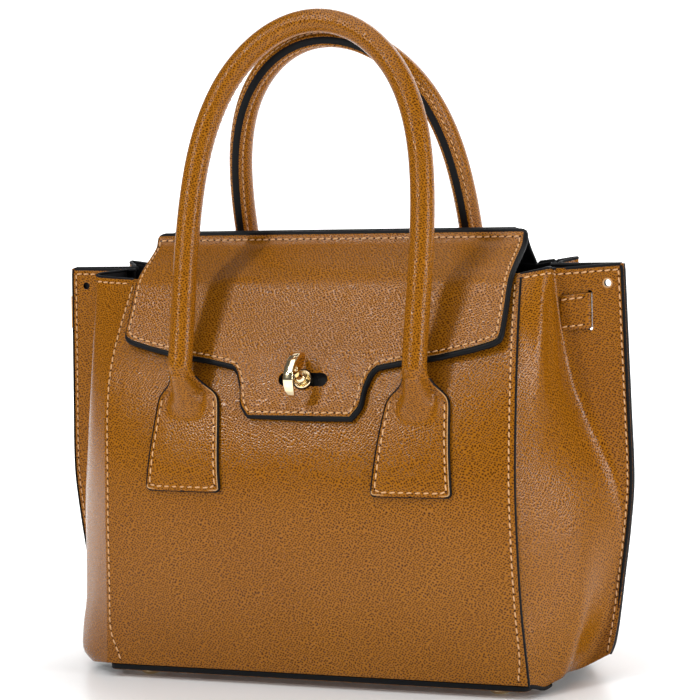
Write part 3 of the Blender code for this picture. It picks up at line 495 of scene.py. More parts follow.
def stadium(length, height, steps=10):
    radius, reach = height / 2, length / 2 - height / 2
    right = [radians(mix(-90, 90, k / steps)) for k in range(steps + 1)]
    return ([(reach + radius * cos(t), radius * sin(t)) for t in right]
            + [(-reach - radius * cos(t), -radius * sin(t)) for t in right])


def resample(path, pitch):
    """Even points, normals and directions along a path of (point, normal), about a pitch apart."""
    lengths = lengths_along([point for point, _ in path])
    count = max(int(round(lengths[-1] / pitch)), 1)
    samples = []
    index = 0
    for step in range(count + 1):
        target = lengths[-1] * step / count
        while index < len(path) - 2 and lengths[index + 1] < target:
            index += 1
        span = max(lengths[index + 1] - lengths[index], 1e-9)
        share = (target - lengths[index]) / span
        samples.append((path[index][0].lerp(path[index + 1][0], share),
                        path[index][1].lerp(path[index + 1][1], share).normalized()))
    return samples


# A stitch's sections: the share of its length, its thickness and its rise over the leather.
STITCH_SECTIONS = ((0.15, 0.35, -0.5), (0.22, 0.85, 0.1), (0.5, 1.0, 0.45), (0.78, 0.85, 0.1), (0.85, 0.35, -0.5))


class Sewing:
    """Gathers the stitches of one body into one object, and the needle holes into another."""

    def __init__(self, name, body):
        self.name, self.body = name, body
        self.thread, self.holes = bmesh.new(), bmesh.new()

    def sew(self, path, pitch=5.1 * MM, radius=0.54 * MM, lift=0.12 * MM):
        samples = resample(path, pitch)
        for (start, first), (end, second) in zip(samples, samples[1:]):
            normal = (first + second).normalized()
            side = normal.cross((end - start).normalized()).normalized()
            rows = []
            for share, size, rise in STITCH_SECTIONS:
                slant = side * (share - 0.5) * 0.5 * MM
                centre = start.lerp(end, share) + slant + normal * (lift + rise * radius)
                rows.append([self.thread.verts.new(
                    centre + (side * cos(t) + normal * sin(t) * 0.75) * radius * size)
                    for t in turns(8)])
            for one, two in zip(rows, rows[1:]):
                for k in range(8):
                    self.thread.faces.new([one[k], one[(k + 1) % 8], two[(k + 1) % 8], two[k]])
            self.thread.faces.new(rows[0][::-1])
            self.thread.faces.new(rows[-1])
        for point, normal in samples:
            self.prick(point, normal, radius * 1.1)

    def prick(self, point, normal, radius):
        """A needle hole, as a small dimple whose dark colour is painted shade."""
        side = normal.orthogonal().normalized()
        other = normal.cross(side)
        rim = [self.holes.verts.new(point + (side * cos(t) + other * sin(t)) * radius) for t in turns(8)]
        top = self.holes.verts.new(point + normal * 0.12 * MM)
        low = self.holes.verts.new(point - normal * 0.3 * MM)
        for k in range(8):
            self.holes.faces.new([rim[k], rim[(k + 1) % 8], top])
            self.holes.faces.new([rim[(k + 1) % 8], rim[k], low])

    def finish(self):
        for suffix, bm, material in (("stitches", self.thread, THREAD), ("needle_holes", self.holes, HOLE)):
            bmesh.ops.recalc_face_normals(bm, faces=bm.faces)
            add_object(f"{self.name}_{suffix}", bm, [material], self.body)


body_seams = Sewing("body", "root")
flap_seams = Sewing("flap", "flap")


# Panels and linings

def side_seam(edge):
    """Where a seam runs beside a panel's side. It curls inwards at the base, more so on the left."""
    margin, curl, curl_height = (2.6 * MM, 0.055, 0.14) if edge < 0 else (3.6 * MM, 0.02, 0.1)
    return [(edge * (1 - margin / (BODY_WIDTH / 2) - curl * (1 - smooth(0, curl_height, up)) ** 2), up)
            for up in spread(0.01, 0.985, 90)]


def build_panels():
    columns = sorted(set(spread(-1, 1, 60) + [-0.985, 0.985]))
    for side, name, lining_top in ((-1, "front", 0.985), (1, "back", 0.96)):
        surface = panel_surface(side)
        panel = sheet(f"{name}_panel_leather", surface, columns, spread(0, 1, 80), PANEL_LEATHER, "root",
                      f"{name}_panel", flip=side > 0)
        lining = sheet(f"{name}_lining_leather", partial(panel_point, side, inset=PANEL_LEATHER + GAP),
                       [share * 0.92 for share in spread(-1, 1, 30)], spread(0.014, lining_top, 50),
                       LINING_LEATHER, "root", f"{name}_lining", LINING, LINING, flip=side > 0, rounding=0)
        heights = spread(0, 1, 70)
        for edge, edge_name in ((-1, "left"), (1, "right")):
            body_seams.sew(surface_path(surface, side_seam(edge), -side))
            seen = edge * side < 0
            across = edge * (1 if seen else 0.995)
            beside = surface_path(surface, [(edge * 0.995, up) for up in heights], -side)
            rim = [(panel_point(side, across, up, PANEL_LEATHER / 2), normal)
                   for up, (_, normal) in zip(heights, beside)]
            bead(f"{name}_panel_side_edge_{edge_name}", rim, (1.25 if seen else 1.05) * MM, 0.8 * MM, "root")
        if side > 0:
            top = [(across, 1 - 6 * MM / BACK_HEIGHT) for across in spread(-0.97, 0.97, 90)]
            body_seams.sew(surface_path(surface, top, -side))


# Gussets

def hill(value, centre, width):
    return exp(-((value - centre) / width) ** 2)


def wing_middle(z):
    return WING_LEAN * z / WING_TOP_Z


WING_TOP_X = WING_REACH * WING_REACHES[-1][1]
HOLE_X, HOLE_Z = WING_TOP_X - 10.5 * MM, WING_TOP_Z - 12 * MM
SLIT_X, SLIT_Z = WING_TOP_X - 22 * MM, WING_TOP_Z - 29 * MM
LYING = Matrix.Rotation(radians(90), 4, "X")
BULGE_STEPS, WING_STEPS = 26, 16
EASING_ROUNDS = 12
SEAM_MARGIN = 3.3 * MM


def gusset_raw(hand, side, column, up):
    """Point of a gusset half before easing. Columns: -1 to 0 is the flange, then the bulge, and from 1 the wing."""
    panel_up = up if side < 0 else up * REAR_TOP
    under = PANEL_LEATHER + GAP
    inner = panel_point(side, hand * 0.93, panel_up, under)
    seam = panel_point(side, hand * 0.995, panel_up, under)
    inner.x *= hand
    seam.x *= hand
    wing_z = WING_TOP_Z * table_value(WING_HEIGHTS, up)
    stand = side * (GUSSET_LEATHER + GAP / 2) * table_value(WING_STANDS, up)
    edge = Vector((WING_REACH * table_value(WING_REACHES, up), wing_middle(wing_z) + stand, wing_z))
    crease = Vector((WING_REACH * table_value(CREASES, up), edge.y, wing_z - 12.5 * MM * (1 - smooth(0, 0.12, up))))
    if column <= 0:
        point = mix(seam, inner, -column)
    elif column <= 1:
        chord = crease - seam
        outward = Vector((abs(chord.y), side * chord.x * BULGE_LEAN, 0)).normalized()
        bulges = REAR_BULGES if side > 0 else LEFT_BULGES if hand < 0 else RIGHT_BULGES
        bulge = GUSSET_BULGE * table_value(bulges, up)
        # A soft fold near the base, and two ridges near the top of the front halves.
        low = 1 - smooth(0.05, 0.5, up)
        fold = low * 2.6 * MM * (hill(column, 0.56, 0.13) - hill(column, 0.84, 0.09))
        high = smooth(0.55, 0.85, up) * (1.6 * MM if hand > 0 else 0.8 * MM) if side < 0 else 0
        high *= 1 - 0.9 * smooth(0.86, 0.99, up)
        fold += high * (hill(column, 0.3, 0.1) - 1.2 * hill(column, 0.52, 0.1) + hill(column, 0.75, 0.1))
        point = mix(seam, crease, column) + outward * (bulge * sin(pi * column) + fold)
        if side > 0:
            point.z += REAR_RIDGE * sin(pi * column) * max(up - 0.5, 0) * 2
        # The hem sags where the bulge rests, more so on the left.
        hem = 1 - smooth(0, 0.1, up)
        if side < 0 and hand < 0:
            point.z -= hem * 3.6 * MM * hill(column, 0.42, 0.33)
        else:
            point.z += hem * (1.2 * MM * hill(column, 0.8, 0.2) - 3.4 * MM * hill(column, 0.28, 0.16))
    else:
        point = mix(crease, edge, column - 1)
    if side < 0:
        # The front halves' top edges aren't level.
        share = min(max(column, 0), 1)
        if hand > 0:
            slope = mix(3, -3.2, share) + 2.4 * sin(pi * share) if column < 1 else mix(-3.2, 0.3, column - 1)
        else:
            slope = mix(1, -1.2, share) if column < 1 else mix(-1.2, -0.2, column - 1)
        point.z += smooth(0.55, 1, up) * MM * slope
    return Vector((hand * point.x, point.y, point.z))


def gusset_rows(hand, side):
    """Grid of gusset points, with the fold beside the wing rounded off."""
    columns = [-1, -0.5, 0] + [step / BULGE_STEPS for step in range(1, BULGE_STEPS + 1)]
    columns += [1 + step / WING_STEPS for step in range(1, WING_STEPS + 1)]
    grid = []
    for up in spread(0, 1, 84):
        line = [gusset_raw(hand, side, column, up) for column in columns]
        for _ in range(EASING_ROUNDS):
            fresh = list(line)
            for index in range(4, len(line) - 4):
                near = 1 - min(abs(columns[index] - 1) / 0.5, 1)
                fresh[index] = line[index].lerp((line[index - 1] + line[index + 1]) / 2, near)
            line = fresh
        grid.append(line)
    return grid


def build_gussets():
    for hand, hand_name in ((-1, "left"), (1, "right")):
        for side, side_name in ((-1, "front"), (1, "rear")):
            name = f"{hand_name}_gusset_{side_name}"
            grid = gusset_rows(hand, side)
            bm, _ = grid_mesh(grid, flip=hand * side < 0, origin=2)
            bmesh.ops.reverse_faces(bm, faces=bm.faces)
            half = add_object(f"{name}_leather", bm, [TAN, LINING, EDGE], "root")
            thicken(half, GUSSET_LEATHER)
            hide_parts(name)
            pierce_wing(half, hand, side)
            round_edges(half, 0.3 * MM)
            sew_gusset(side, grid)
            edge_gusset(name, side, grid)
            if side < 0 and hand < 0:
                edge_slit(name, grid)
            elif side < 0:
                # The cut corner of the front half shows under the right side.
                hem = [(here + Vector((-0.3, 0.8, -0.9)) * MM, (here - above).normalized())
                       for here, above in zip(grid[0][:13], grid[1])]
                bead(f"{name}_corner_edge", hem, 1.5 * MM, 1.1 * MM, "root")
        edge_wing(f"{hand_name}_wing", hand)
    rim = turned("right_wing_hole_rim", [(2.3, 2.2), (2.35, 2.6), (2.9, 2.8), (3.2, 2.6), (3.3, 2.2), (2.3, 2.2)],
                 Matrix.Translation((HOLE_X, wing_middle(HOLE_Z), HOLE_Z)) @ LYING, RAW_RIM_AND_HIGHLIGHT, "root")


def pierce_wing(half, hand, side):
    """The round hole and the strap's slit. The left rear hole is off its partner, so the left one looks closed."""
    shift = 3.6 * MM if hand < 0 and side > 0 else 0
    lower = 1.7 * MM if side > 0 else 0
    hole = prism("hole_cutter", circle(2.4 * MM), Matrix.Translation((hand * HOLE_X + shift, 0, HOLE_Z)) @ LYING,
                 30 * MM)
    slit = prism("slit_cutter", stadium(25.4 * MM, 3 * MM),
                 Matrix.Translation((hand * SLIT_X, wing_middle(SLIT_Z), SLIT_Z - lower)) @ LYING
                 @ Matrix.Rotation(radians(90), 4, "Z"), 8 * MM)
    cut(half, [hole, slit])


def edge_slit(name, grid):
    """The pale lip of the left wing's slit, as the camera sees it side-on, and the notch over it, a dark dimple of
    painted shade.
    """
    lip = []
    for row in grid:
        here = min(row[14:], key=lambda point: 0.93 * point.x + 0.368 * point.y)
        if abs(here.z - SLIT_Z) < 12.4 * MM:
            lip.append((here + Vector((-0.1, -0.1, 0)) * MM, Vector((-0.37, -0.93, 0))))
    bead(f"{name}_slit_lip", resample(lip, 1.5 * MM), 0.55 * MM, 0.7 * MM, "root", material=RAW_RIM_AND_HIGHLIGHT)
    # Painted shade: the notch is a dark dimple where the opening lies in shade.
    notch = lip[-1][0] + Vector((0.9, -0.35, -1.4)) * MM
    body_seams.prick(notch, Vector((-0.2, -0.98, 0.1)).normalized(), 1.5 * MM)


def edge_gusset(name, side, grid):
    """Painted top edge of a gusset half's bulging part."""
    path = []
    for index in range(2, len(grid[-1]) - WING_STEPS):
        here, below = grid[-1][index], grid[-2][index]
        along = grid[-1][index + 1] - grid[-1][index - 1]
        normal = facing(along.cross(below - here).normalized(), Vector((here.x, side * 20 * MM, 0)))
        path.append((here - normal * 1.0 * MM - Vector((0, 0, 0.2 * MM)), normal))
    bead(f"{name}_top_edge", path, 1.3 * MM, 1.1 * MM, "root")


def edge_wing(name, hand):
    """Painted edges of a wing: one closes both halves up its outer side, one runs along each half's top."""
    wide = 1.8 * MM if hand > 0 else 1.2 * MM
    ahead = Vector((0, 1, 0))
    path = []
    for up in spread(0, 0.985, 74):
        z = WING_TOP_Z * table_value(WING_HEIGHTS, up)
        x = WING_REACH * table_value(WING_REACHES, up) - wide + 0.6 * MM
        path.append((Vector((hand * x, wing_middle(z), z)), ahead))
    path.append((path[-1][0] + Vector((-hand * 0.6 * MM, 0, 3 * MM)), ahead))
    bead(f"{name}_edge", path, 3.0 * MM, wide, "root")
    for side, side_name in ((-1, "front"), (1, "rear")):
        path = [(gusset_raw(hand, side, column, 1) + Vector((0, -side, -0.5)) * MM, ahead)
                for column in spread(1.96, 1, 24)]
        bead(f"{name}_top_edge_{side_name}", path, 1.35 * MM, 1.2 * MM, "root")


def sew_gusset(side, grid):
    """Stitches down the wing's outer edge and along the top edge."""
    last = len(grid[0]) - 1
    edge = []
    for index in range(3, len(grid)):
        row, walked, k = grid[index], 0.0, last
        step = (row[k - 1] - row[k]).length
        while walked + step < SEAM_MARGIN:
            walked += step
            k -= 1
            step = (row[k - 1] - row[k]).length
        here = row[k].lerp(row[k - 1], (SEAM_MARGIN - walked) / step)
        upward = grid[min(index + 1, len(grid) - 1)][k] - grid[index - 1][k]
        normal = (row[k] - row[k - 1]).cross(upward).normalized()
        edge.append((here, facing(normal, Vector((0, side, 0)))))
    edge[-1] = (edge[-1][0] - Vector((0, 0, 3.5 * MM)), edge[-1][1])
    body_seams.sew(edge)
    top = []
    for index in range(3, last):
        here, below = grid[-1][index], grid[-2][index]
        down = (below - here).normalized()
        along = (grid[-1][index + 1] - grid[-1][index - 1]).normalized()
        normal = along.cross(down).normalized()
        if normal.y * side < 0 and abs(normal.y) > 0.2 or (abs(normal.y) <= 0.2 and normal.x * here.x < 0):
            normal.negate()
        top.append((here + down * 3.6 * MM, normal))
    body_seams.sew(top)


STRAP_LEATHER, STRAP_HEIGHT, STRAP_REACH = 2.2 * MM, 22.4 * MM, 18.3 * MM


def build_straps():
    """Cinch straps: each lies on its wing's front, turns through the slit and lies on the wing's back."""
    half = STRAP_LEATHER / 2
    run = (GUSSET_LEATHER + GAP / 2) * 1.08 + GAP + half
    turn_x = SLIT_X - 2 * MM + GAP + half
    bend = 1.6 * MM
    middle = wing_middle(SLIT_Z)
    straight = [turn_x - STRAP_REACH + 1.4 * MM * k for k in range(12)]
    arc = [radians(mix(-90, 0, k / 6)) for k in range(7)]
    route = [(x, middle - run) for x in straight]
    route += [(turn_x - bend + bend * cos(t), middle - run + bend + bend * sin(t)) for t in arc]
    route += [(turn_x - bend + bend * cos(t), middle + run - bend - bend * sin(t)) for t in arc[::-1]]
    route += [(x, middle + run) for x in straight[::-1]]
    seam = 0.5 - 2.6 * MM / STRAP_HEIGHT
    for hand, name in ((-1, "left_side_strap"), (1, "right_side_strap")):
        def point(column, row, hand=hand):
            x, y = route[column]
            z = SLIT_Z + STRAP_HEIGHT * row
            drop = 2 * MM * (turn_x - x) / (18 * MM) if y < middle else 0
            return Vector((hand * x, y + wing_middle(z) - middle, z - drop))

        strap = sheet(f"{name}_leather", point, range(len(route)), spread(-0.5, 0.5, 8), STRAP_LEATHER, "root",
                      name, back=TAN, flip=hand < 0)
        strap.modifiers["thickness"].offset = 0
        for row in (-seam, seam):
            path = [(point(k, row) - Vector((0, half, 0)), Vector((0, -1, 0))) for k in range(len(straight))]
            body_seams.sew(path, 4.6 * MM)


# Base and feet

def rounded_rectangle(width, depth, radius, steps=8):
    outline = []
    x, y = width / 2 - radius, depth / 2 - radius
    for cx, cy, start in ((x, y, 0), (-x, y, 90), (-x, -y, 180), (x, -y, 270)):
        for k in range(steps + 1):
            t = radians(start + 90 * k / steps)
            outline.append((cx + radius * cos(t), cy + radius * sin(t)))
    return outline


def build_base():
    outline = rounded_rectangle(BODY_WIDTH - 1.6 * MM, BODY_DEPTH - 1.6 * MM, 6 * MM)
    bm, walls = prism_mesh(outline, 5 * MM, 9 * MM)
    for wall in walls:
        wall.material_index = 1
    uv = bm.loops.layers.uv.new("UVMap")
    bm.faces.ensure_lookup_table()
    # Only the underside, the first face, is seen with its grain.
    for loop in bm.faces[0].loops:
        loop[uv].uv = loop.vert.co.xy
    base = add_object("base_panel_leather", bm, [TAN, EDGE], "root")
    round_edges(base, 0.8 * MM, 3, 30)
    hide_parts("base_panel")
    profile = [(0, 13.4), (1.5, 13.4), (1.5, 4.7), (5, 4.7), (5.9, 4.2), (6.4, 3.3), (6.45, 2.4), (6.1, 1.4),
               (5.2, 0.5), (4.03, 0.05), (3.6, 0), (0, 0)]
    for name, x, y in (("foot_front_left", -1, -1), ("foot_front_right", 1, -1), ("foot_rear_left", -1, 1),
                       ("foot_rear_right", 1, 1)):
        place = Matrix.Translation((x * 121 * MM, y * 48 * MM, 0))
        foot = turned(f"{name}_stud", profile, place, GOLD, "root")
        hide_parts(name)


# Flap

def flap_profile():
    half = (FLAP_LEATHER + GAP + FLAP_LINING) / 2
    profile = [(HINGE.y, HINGE.z)]
    for up in (1, 0.92, 0.83, 0.75, 0.67, 0.6):
        point = panel_point(-1, 0, up, -(0.5 * MM + half))
        profile.append((point.y, point.z))
    lengths = [0.0]
    for here, there in zip(profile, profile[1:]):
        lengths.append(lengths[-1] + dist(here, there))
    return ([(length / lengths[-1], p[0]) for length, p in zip(lengths, profile)],
            [(length / lengths[-1], p[1]) for length, p in zip(lengths, profile)])


FLAP_Y, FLAP_Z = flap_profile()
# The flap's lower outline, from its middle to its side, as (x, z) in millimetres.
FLAP_BOTTOM = ((0, 172), (34.5, 172), (36, 172.4), (40.6, 178.2), (42.2, 181.4), (42.6, 184), (43.6, 191.4),
               (46.2, 198.6), (48, 201.2), (50, 202.8), (54, 203.6), (68, 206.2), (89, 209.2), (110, 213.8),
               (122, 217), (125, 218.1), (127.6, 219.6), (129.2, 221.6), (130, 224.5))
# The top skin sits a little up and to the left on its thick painted edge, as in the photograph.
SHIFT_X, SHIFT_Z = -0.8 * MM, 1.3 * MM
FLAP_BORDER, FLAP_SEAM_MARGIN = 2 * MM, 3.9 * MM


def flap_middle(across, down):
    """Middle layer of the flap, by across -1..1 and down 0..1."""
    y = table_value(FLAP_Y, down)
    z = table_value(FLAP_Z, down)
    if down < 0:
        y = 2 * FLAP_Y[0][1] - table_value(FLAP_Y, -down)
        z = 2 * FLAP_Z[0][1] - table_value(FLAP_Z, -down)
    y += 7 * MM * smooth(0, 0.11, down) * (1 - smooth(0.1, 0.32, down))
    crown = -9 * MM * max(down, 0) ** 2 * min(abs(across), 1) ** 4
    made = Vector((across * FLAP_HALF, y + crown, z))
    made.y -= max(wander(made, 0.06, 0.5 * MM, 9.0), 0) * min(max(down, 0) * 3, 1)
    return made


def flap_down(z):
    """Share of the flap's length at which its middle layer reaches a height."""
    low, high = 0.0, 1.0
    for _ in range(24):
        middle = (low + high) / 2
        if table_value(FLAP_Z, middle) > z:
            low = middle
        else:
            high = middle
    return (low + high) / 2


def lock_frame():
    origin = panel_point(-1, 0, LOCK_UP)
    outward = (panel_point(-1, 0, LOCK_UP, -MM) - origin).normalized()
    right = Vector((1, 0, 0))
    made = Matrix((right, outward.cross(right), outward)).transposed().to_4x4()
    made.translation = origin
    return made


def inset_outline(margin):
    """The flap's lower outline from its middle to its side, moved in by a margin."""
    points = [Vector((x * MM, z * MM)) for x, z in FLAP_BOTTOM]
    kept = [Vector((0, points[0].y + margin))]
    for before, point, after in zip(points, points[1:], points[2:] + points[-1:]):
        along = (after - before).normalized()
        moved = point + Vector((-along.y, along.x)) * margin
        if moved.x > kept[-1].x + 0.4 * MM and moved.x <= FLAP_HALF - margin:
            kept.append(moved)
    if kept[-1].x < FLAP_HALF - margin - 0.2 * MM:
        kept.append(Vector((FLAP_HALF - margin, points[-1].y)))
    return [(p.x, p.y) for p in kept]


def on_flap(x, z, height):
    """A place on the flap, at a height over its middle layer, and the outward normal there."""
    across, down = x / FLAP_HALF, flap_down(z)
    return offset_point(flap_middle, across, down, height), -normal_at(flap_middle, across, down)


def build_flap():
    half = (FLAP_LEATHER + GAP + FLAP_LINING) / 2
    outline = [(x / MM, z) for x, z in inset_outline(FLAP_BORDER)]
    bottoms = {}
    for here, there in zip(outline, outline[1:]):
        steps = max(int((there[0] - here[0]) / 4), 1)
        for k in range(steps + 1):
            x = mix(here[0], there[0], k / steps)
            for way in (x, -x):
                bottoms[way + SHIFT_X / MM] = flap_down(mix(here[1], there[1], k / steps) + SHIFT_Z)
    columns = sorted(bottoms)
    rows = spread(0, 1, 44)
    top_down = flap_down(HINGE.z - 2 * MM)
    curve = [(table_value(FLAP_Y, share), table_value(FLAP_Z, share)) for share in spread(0, 1, 40)]
    length = sum(dist(here, there) for here, there in zip(curve, curve[1:]))
    uvs = [[(x * MM, row * bottoms[x] * length) for x in columns] for row in rows]

    def layer(inset):
        def point(x, row):
            return offset_point(flap_middle, x * MM / FLAP_HALF, mix(top_down, bottoms[x], row), -inset)
        return point

    outer = sheet("flap_leather_skin", layer(-half), columns, rows, FLAP_LEATHER, "flap", "flap_leather",
                  rounding=0, flip=True, rim=RAW_RIM_AND_HIGHLIGHT, uvs=uvs)
    inner = sheet("flap_lining_skin", layer(FLAP_LEATHER + GAP - half), columns, rows, FLAP_LINING, "flap",
                  "flap_lining", finish=LINING, rounding=0, flip=True)
    place = lock_frame()
    for piece in (outer, inner):
        cut(piece, [prism("slot_cutter", stadium(33.4 * MM, 8.8 * MM), place, 30 * MM),
                    prism("eye_cutter", circle(6.8 * MM, 40), place, 30 * MM)])
    round_edges(outer, 0.3 * MM)

    margin = FLAP_SEAM_MARGIN
    top_z = HINGE.z - 4.6 * MM
    top = spread(-FLAP_HALF + margin, FLAP_HALF - margin, 60)
    flap_seams.sew([on_flap(x + SHIFT_X, top_z, half) for x in top], 4.9 * MM)
    for hand in (-1, 1):
        seam = [(FLAP_HALF - margin, z) for z in spread(top_z, 225.8 * MM, 20)]
        seam += [(x, z + SHIFT_Z) for x, z in inset_outline(margin)[::-1]]
        flap_seams.sew([on_flap(hand * x + SHIFT_X, z, half) for x, z in seam], 4.9 * MM)
    side_x = FLAP_HALF - FLAP_BORDER
    right = inset_outline(FLAP_BORDER)
    right += [(side_x, z) for z in spread(right[-1][1] + 2 * MM, HINGE.z - 3 * MM, 30)]
    right += [(side_x - 0.9 * MM, HINGE.z - 1.5 * MM)]
    right += [(x, HINGE.z - 0.9 * MM) for x in spread(side_x - 3 * MM, 0, 30)]
    path = [on_flap(x, z, 0) for x, z in right[:-1] + [(-x, z) for x, z in right[:0:-1]]]
    bead("flap_edge", resample(path, 1.5 * MM)[:-1], 1.95 * MM, FLAP_BORDER, "flap", closed=True)


# Handles with their tabs

def handle_frame(side):
    lean = HANDLE_LEANS[side]
    up = Vector((0, -side * sin(lean), cos(lean)))
    outward = Vector((0, side * cos(lean), sin(lean)))
    made = Matrix((up.cross(outward), up, outward)).transposed().to_4x4()
    made.translation = Vector((0, -side * PIVOT.y, PIVOT.z))
    return made


def handle_line(side, steps=10):
    """Middle line of a handle in its own plane: its arch is eased, and its feet stay straight."""
    height = HANDLE_HEIGHTS[side]
    rises = list(enumerate(list(HANDLE_RISES) + list(HANDLE_RISES[-2::-1])))
    spans = list(enumerate(list(HANDLE_SPANS) + [-share for share in HANDLE_SPANS[-2::-1]]))
    last = 2 * (len(HANDLE_RISES) - 1)
    line = [(HANDLE_HALF * table_value(spans, k / steps), height * table_value(rises, k / steps))
            for k in range(last * steps + 1)]
    for _ in range(90):
        eased = []
        for before, here, after in zip(line, line[1:], line[2:]):
            share = 0.5 * smooth(0.12, 0.35, here[1] / height)
            eased.append(tuple(mix(here[k], (before[k] + after[k]) / 2, share) for k in (0, 1)))
        line = [line[0]] + eased + [line[-1]]
    top = max(y for _, y in line)
    return [(x, y * height / top) for x, y in line]


# Half widths of a tab by height, both in millimetres.
TAB_HALVES = ((127, 26), (155, 23.4), (179, 20.9), (184, 20), (187, 18.4), (191, 15.6), (196, 12.6), (201, 10.6),
              (207, 8.8), (212, 8))
TAB_LOW, TAB_TOP, TAB_JOIN = 127 * MM, 201 * MM, 211 * MM
TAB_STAND, TAB_CORNER, TAB_INSET = 2.7 * MM, 3 * MM, 2.5 * MM
SEWN_CORNER = 0.7 * MM
RING = 56
EDGE_ROWS = 10


def tab_on_panel(side, x, z, height):
    total = FRONT_HEIGHT if side < 0 else BACK_HEIGHT
    up = (z - BODY_BOTTOM_Z) / total
    widths = FRONT_WIDTHS if side < 0 else BACK_WIDTHS
    return panel_point(side, x / (BODY_WIDTH / 2 * table_value(widths, up)), up, -height)


def tab_half(z):
    """Half width of a tab at a height, with its lower corners rounded."""
    low = min(max(TAB_CORNER - (z - TAB_LOW), 0), TAB_CORNER)
    return table_value(TAB_HALVES, z / MM) * MM - TAB_CORNER + sqrt(max(TAB_CORNER ** 2 - low ** 2, 0))


def tab_centre(side, hand, z):
    """Middle of a tab. The front ones sit a little to the left of the roll, and the left one leans."""
    centre = hand * mix(77.5 * MM, HANDLE_HALF, (z - TAB_LOW) / (TAB_TOP - TAB_LOW))
    if side > 0:
        return centre
    if hand < 0:
        return centre - 2.5 * MM + 3.6 * MM * smooth(127 * MM, 188 * MM, z)
    return centre - 2.5 * MM * (1 - 0.6 * smooth(150 * MM, 205 * MM, z))


def ring_angle(step):
    """Angle round a section: it starts at the back, next comes the outer side, then the front."""
    return tau * step / RING - pi / 2


def tab_ring(side, hand, z):
    """Section of a tab, with the swelling of the roll's filler under its leather."""
    width = tab_half(z)
    swell = smooth(170 * MM, 196 * MM, z)
    reach = mix(14 * MM, 8.4 * MM, smooth(170 * MM, 198 * MM, z))
    ring = []
    for step in range(RING):
        angle = ring_angle(step)
        across = copysign(abs(cos(angle)) ** 0.8, cos(angle))
        plate = (1 - abs(across) ** 16) ** (1 / 6)
        height = GAP + TAB_STAND / 2 + copysign(TAB_STAND / 2 * plate, sin(angle))
        if sin(angle) > 0:
            s = min(abs(across * width) / reach, 1)
            height += 21.5 * MM * swell * (1 - s * s) ** mix(1.6, 0.55, swell)
        ring.append(tab_on_panel(side, tab_centre(side, hand, z) + hand * across * width, z, height))
    return ring


def roll_ring(place, x, y, along, fin):
    """Section of the roll: round, and drawn out at the back into the sewn seam."""
    normal = Vector((along[1], -along[0]))
    ring = []
    for step in range(RING):
        angle = ring_angle(step)
        back = abs(atan2(cos(angle), -sin(angle)))
        radius = HANDLE_RADIUS + fin * 2.9 * MM * (1 - smooth(0.3, 0.62, back))
        across = cos(angle) * radius
        out = sin(angle) * radius
        if fin > 0 and back < 0.3:
            out = mix(out, -(HANDLE_RADIUS + 2.3 * MM), fin)
        ring.append(place @ Vector((x + normal.x * across, y + normal.y * across, out)))
    return ring


def foot_rings(side, hand, place, heights):
    """Sections of a handle's foot: the tab, which turns into the round roll."""
    foot = []
    for z in heights:
        ring = tab_ring(side, hand, z)
        weight = smooth(186 * MM, 208 * MM, z)
        if weight > 0:
            rise = (z - PIVOT.z) / cos(HANDLE_LEANS[side])
            tube = roll_ring(place, -side * hand * HANDLE_HALF, rise, Vector((0, -side * hand)), 0)
            ring = [mix(*pair, weight) for pair in zip(ring, tube)]
        foot.append(ring)
    return foot


def edge_tab(name, hand_name, foot, outward, span):
    """The painted black edge round a tab, and the pale rim beside it at the bottom and on the right: the leather's
    pale rounded rim, brightened as a painted highlight where the light catches it.
    """
    quarter, half, last = RING // 4, RING // 2, len(foot) - EDGE_ROWS
    edge = [foot[k][quarter] for k in range(last - 1, 0, -1)]
    edge += [(foot[0][k] + foot[0][RING - k]) / 2 for k in range(quarter, 3 * quarter + 1) if k != half]
    edge += [foot[k][3 * quarter] for k in range(1, last)]
    bead(f"{name}_tab_edge_{hand_name}", [(point, outward) for point in edge], 1.4 * MM, 0.8 * MM, blend=span)
    middle_x = sum(point.x for point in edge) / len(edge)
    # Painted highlight: the pale rim is kept only at the bottom and on the right, where light catches the edge.
    pale = []
    for point in edge[4:-4]:
        if point.z <= TAB_LOW + 1.5 * MM:
            inward = Vector((0, 0, 0.7 * MM))
        elif point.x < middle_x and point.z > TAB_LOW + 4 * MM:
            continue
        else:
            inward = Vector((copysign(0.55 * MM, middle_x - point.x), 0, 0))
        pale.append((point + inward + outward * 1.15 * MM, outward))
    bead(f"{name}_tab_rim_{hand_name}", pale, 0.35 * MM, 0.4 * MM, material=RAW_RIM_AND_HIGHLIGHT, blend=span)


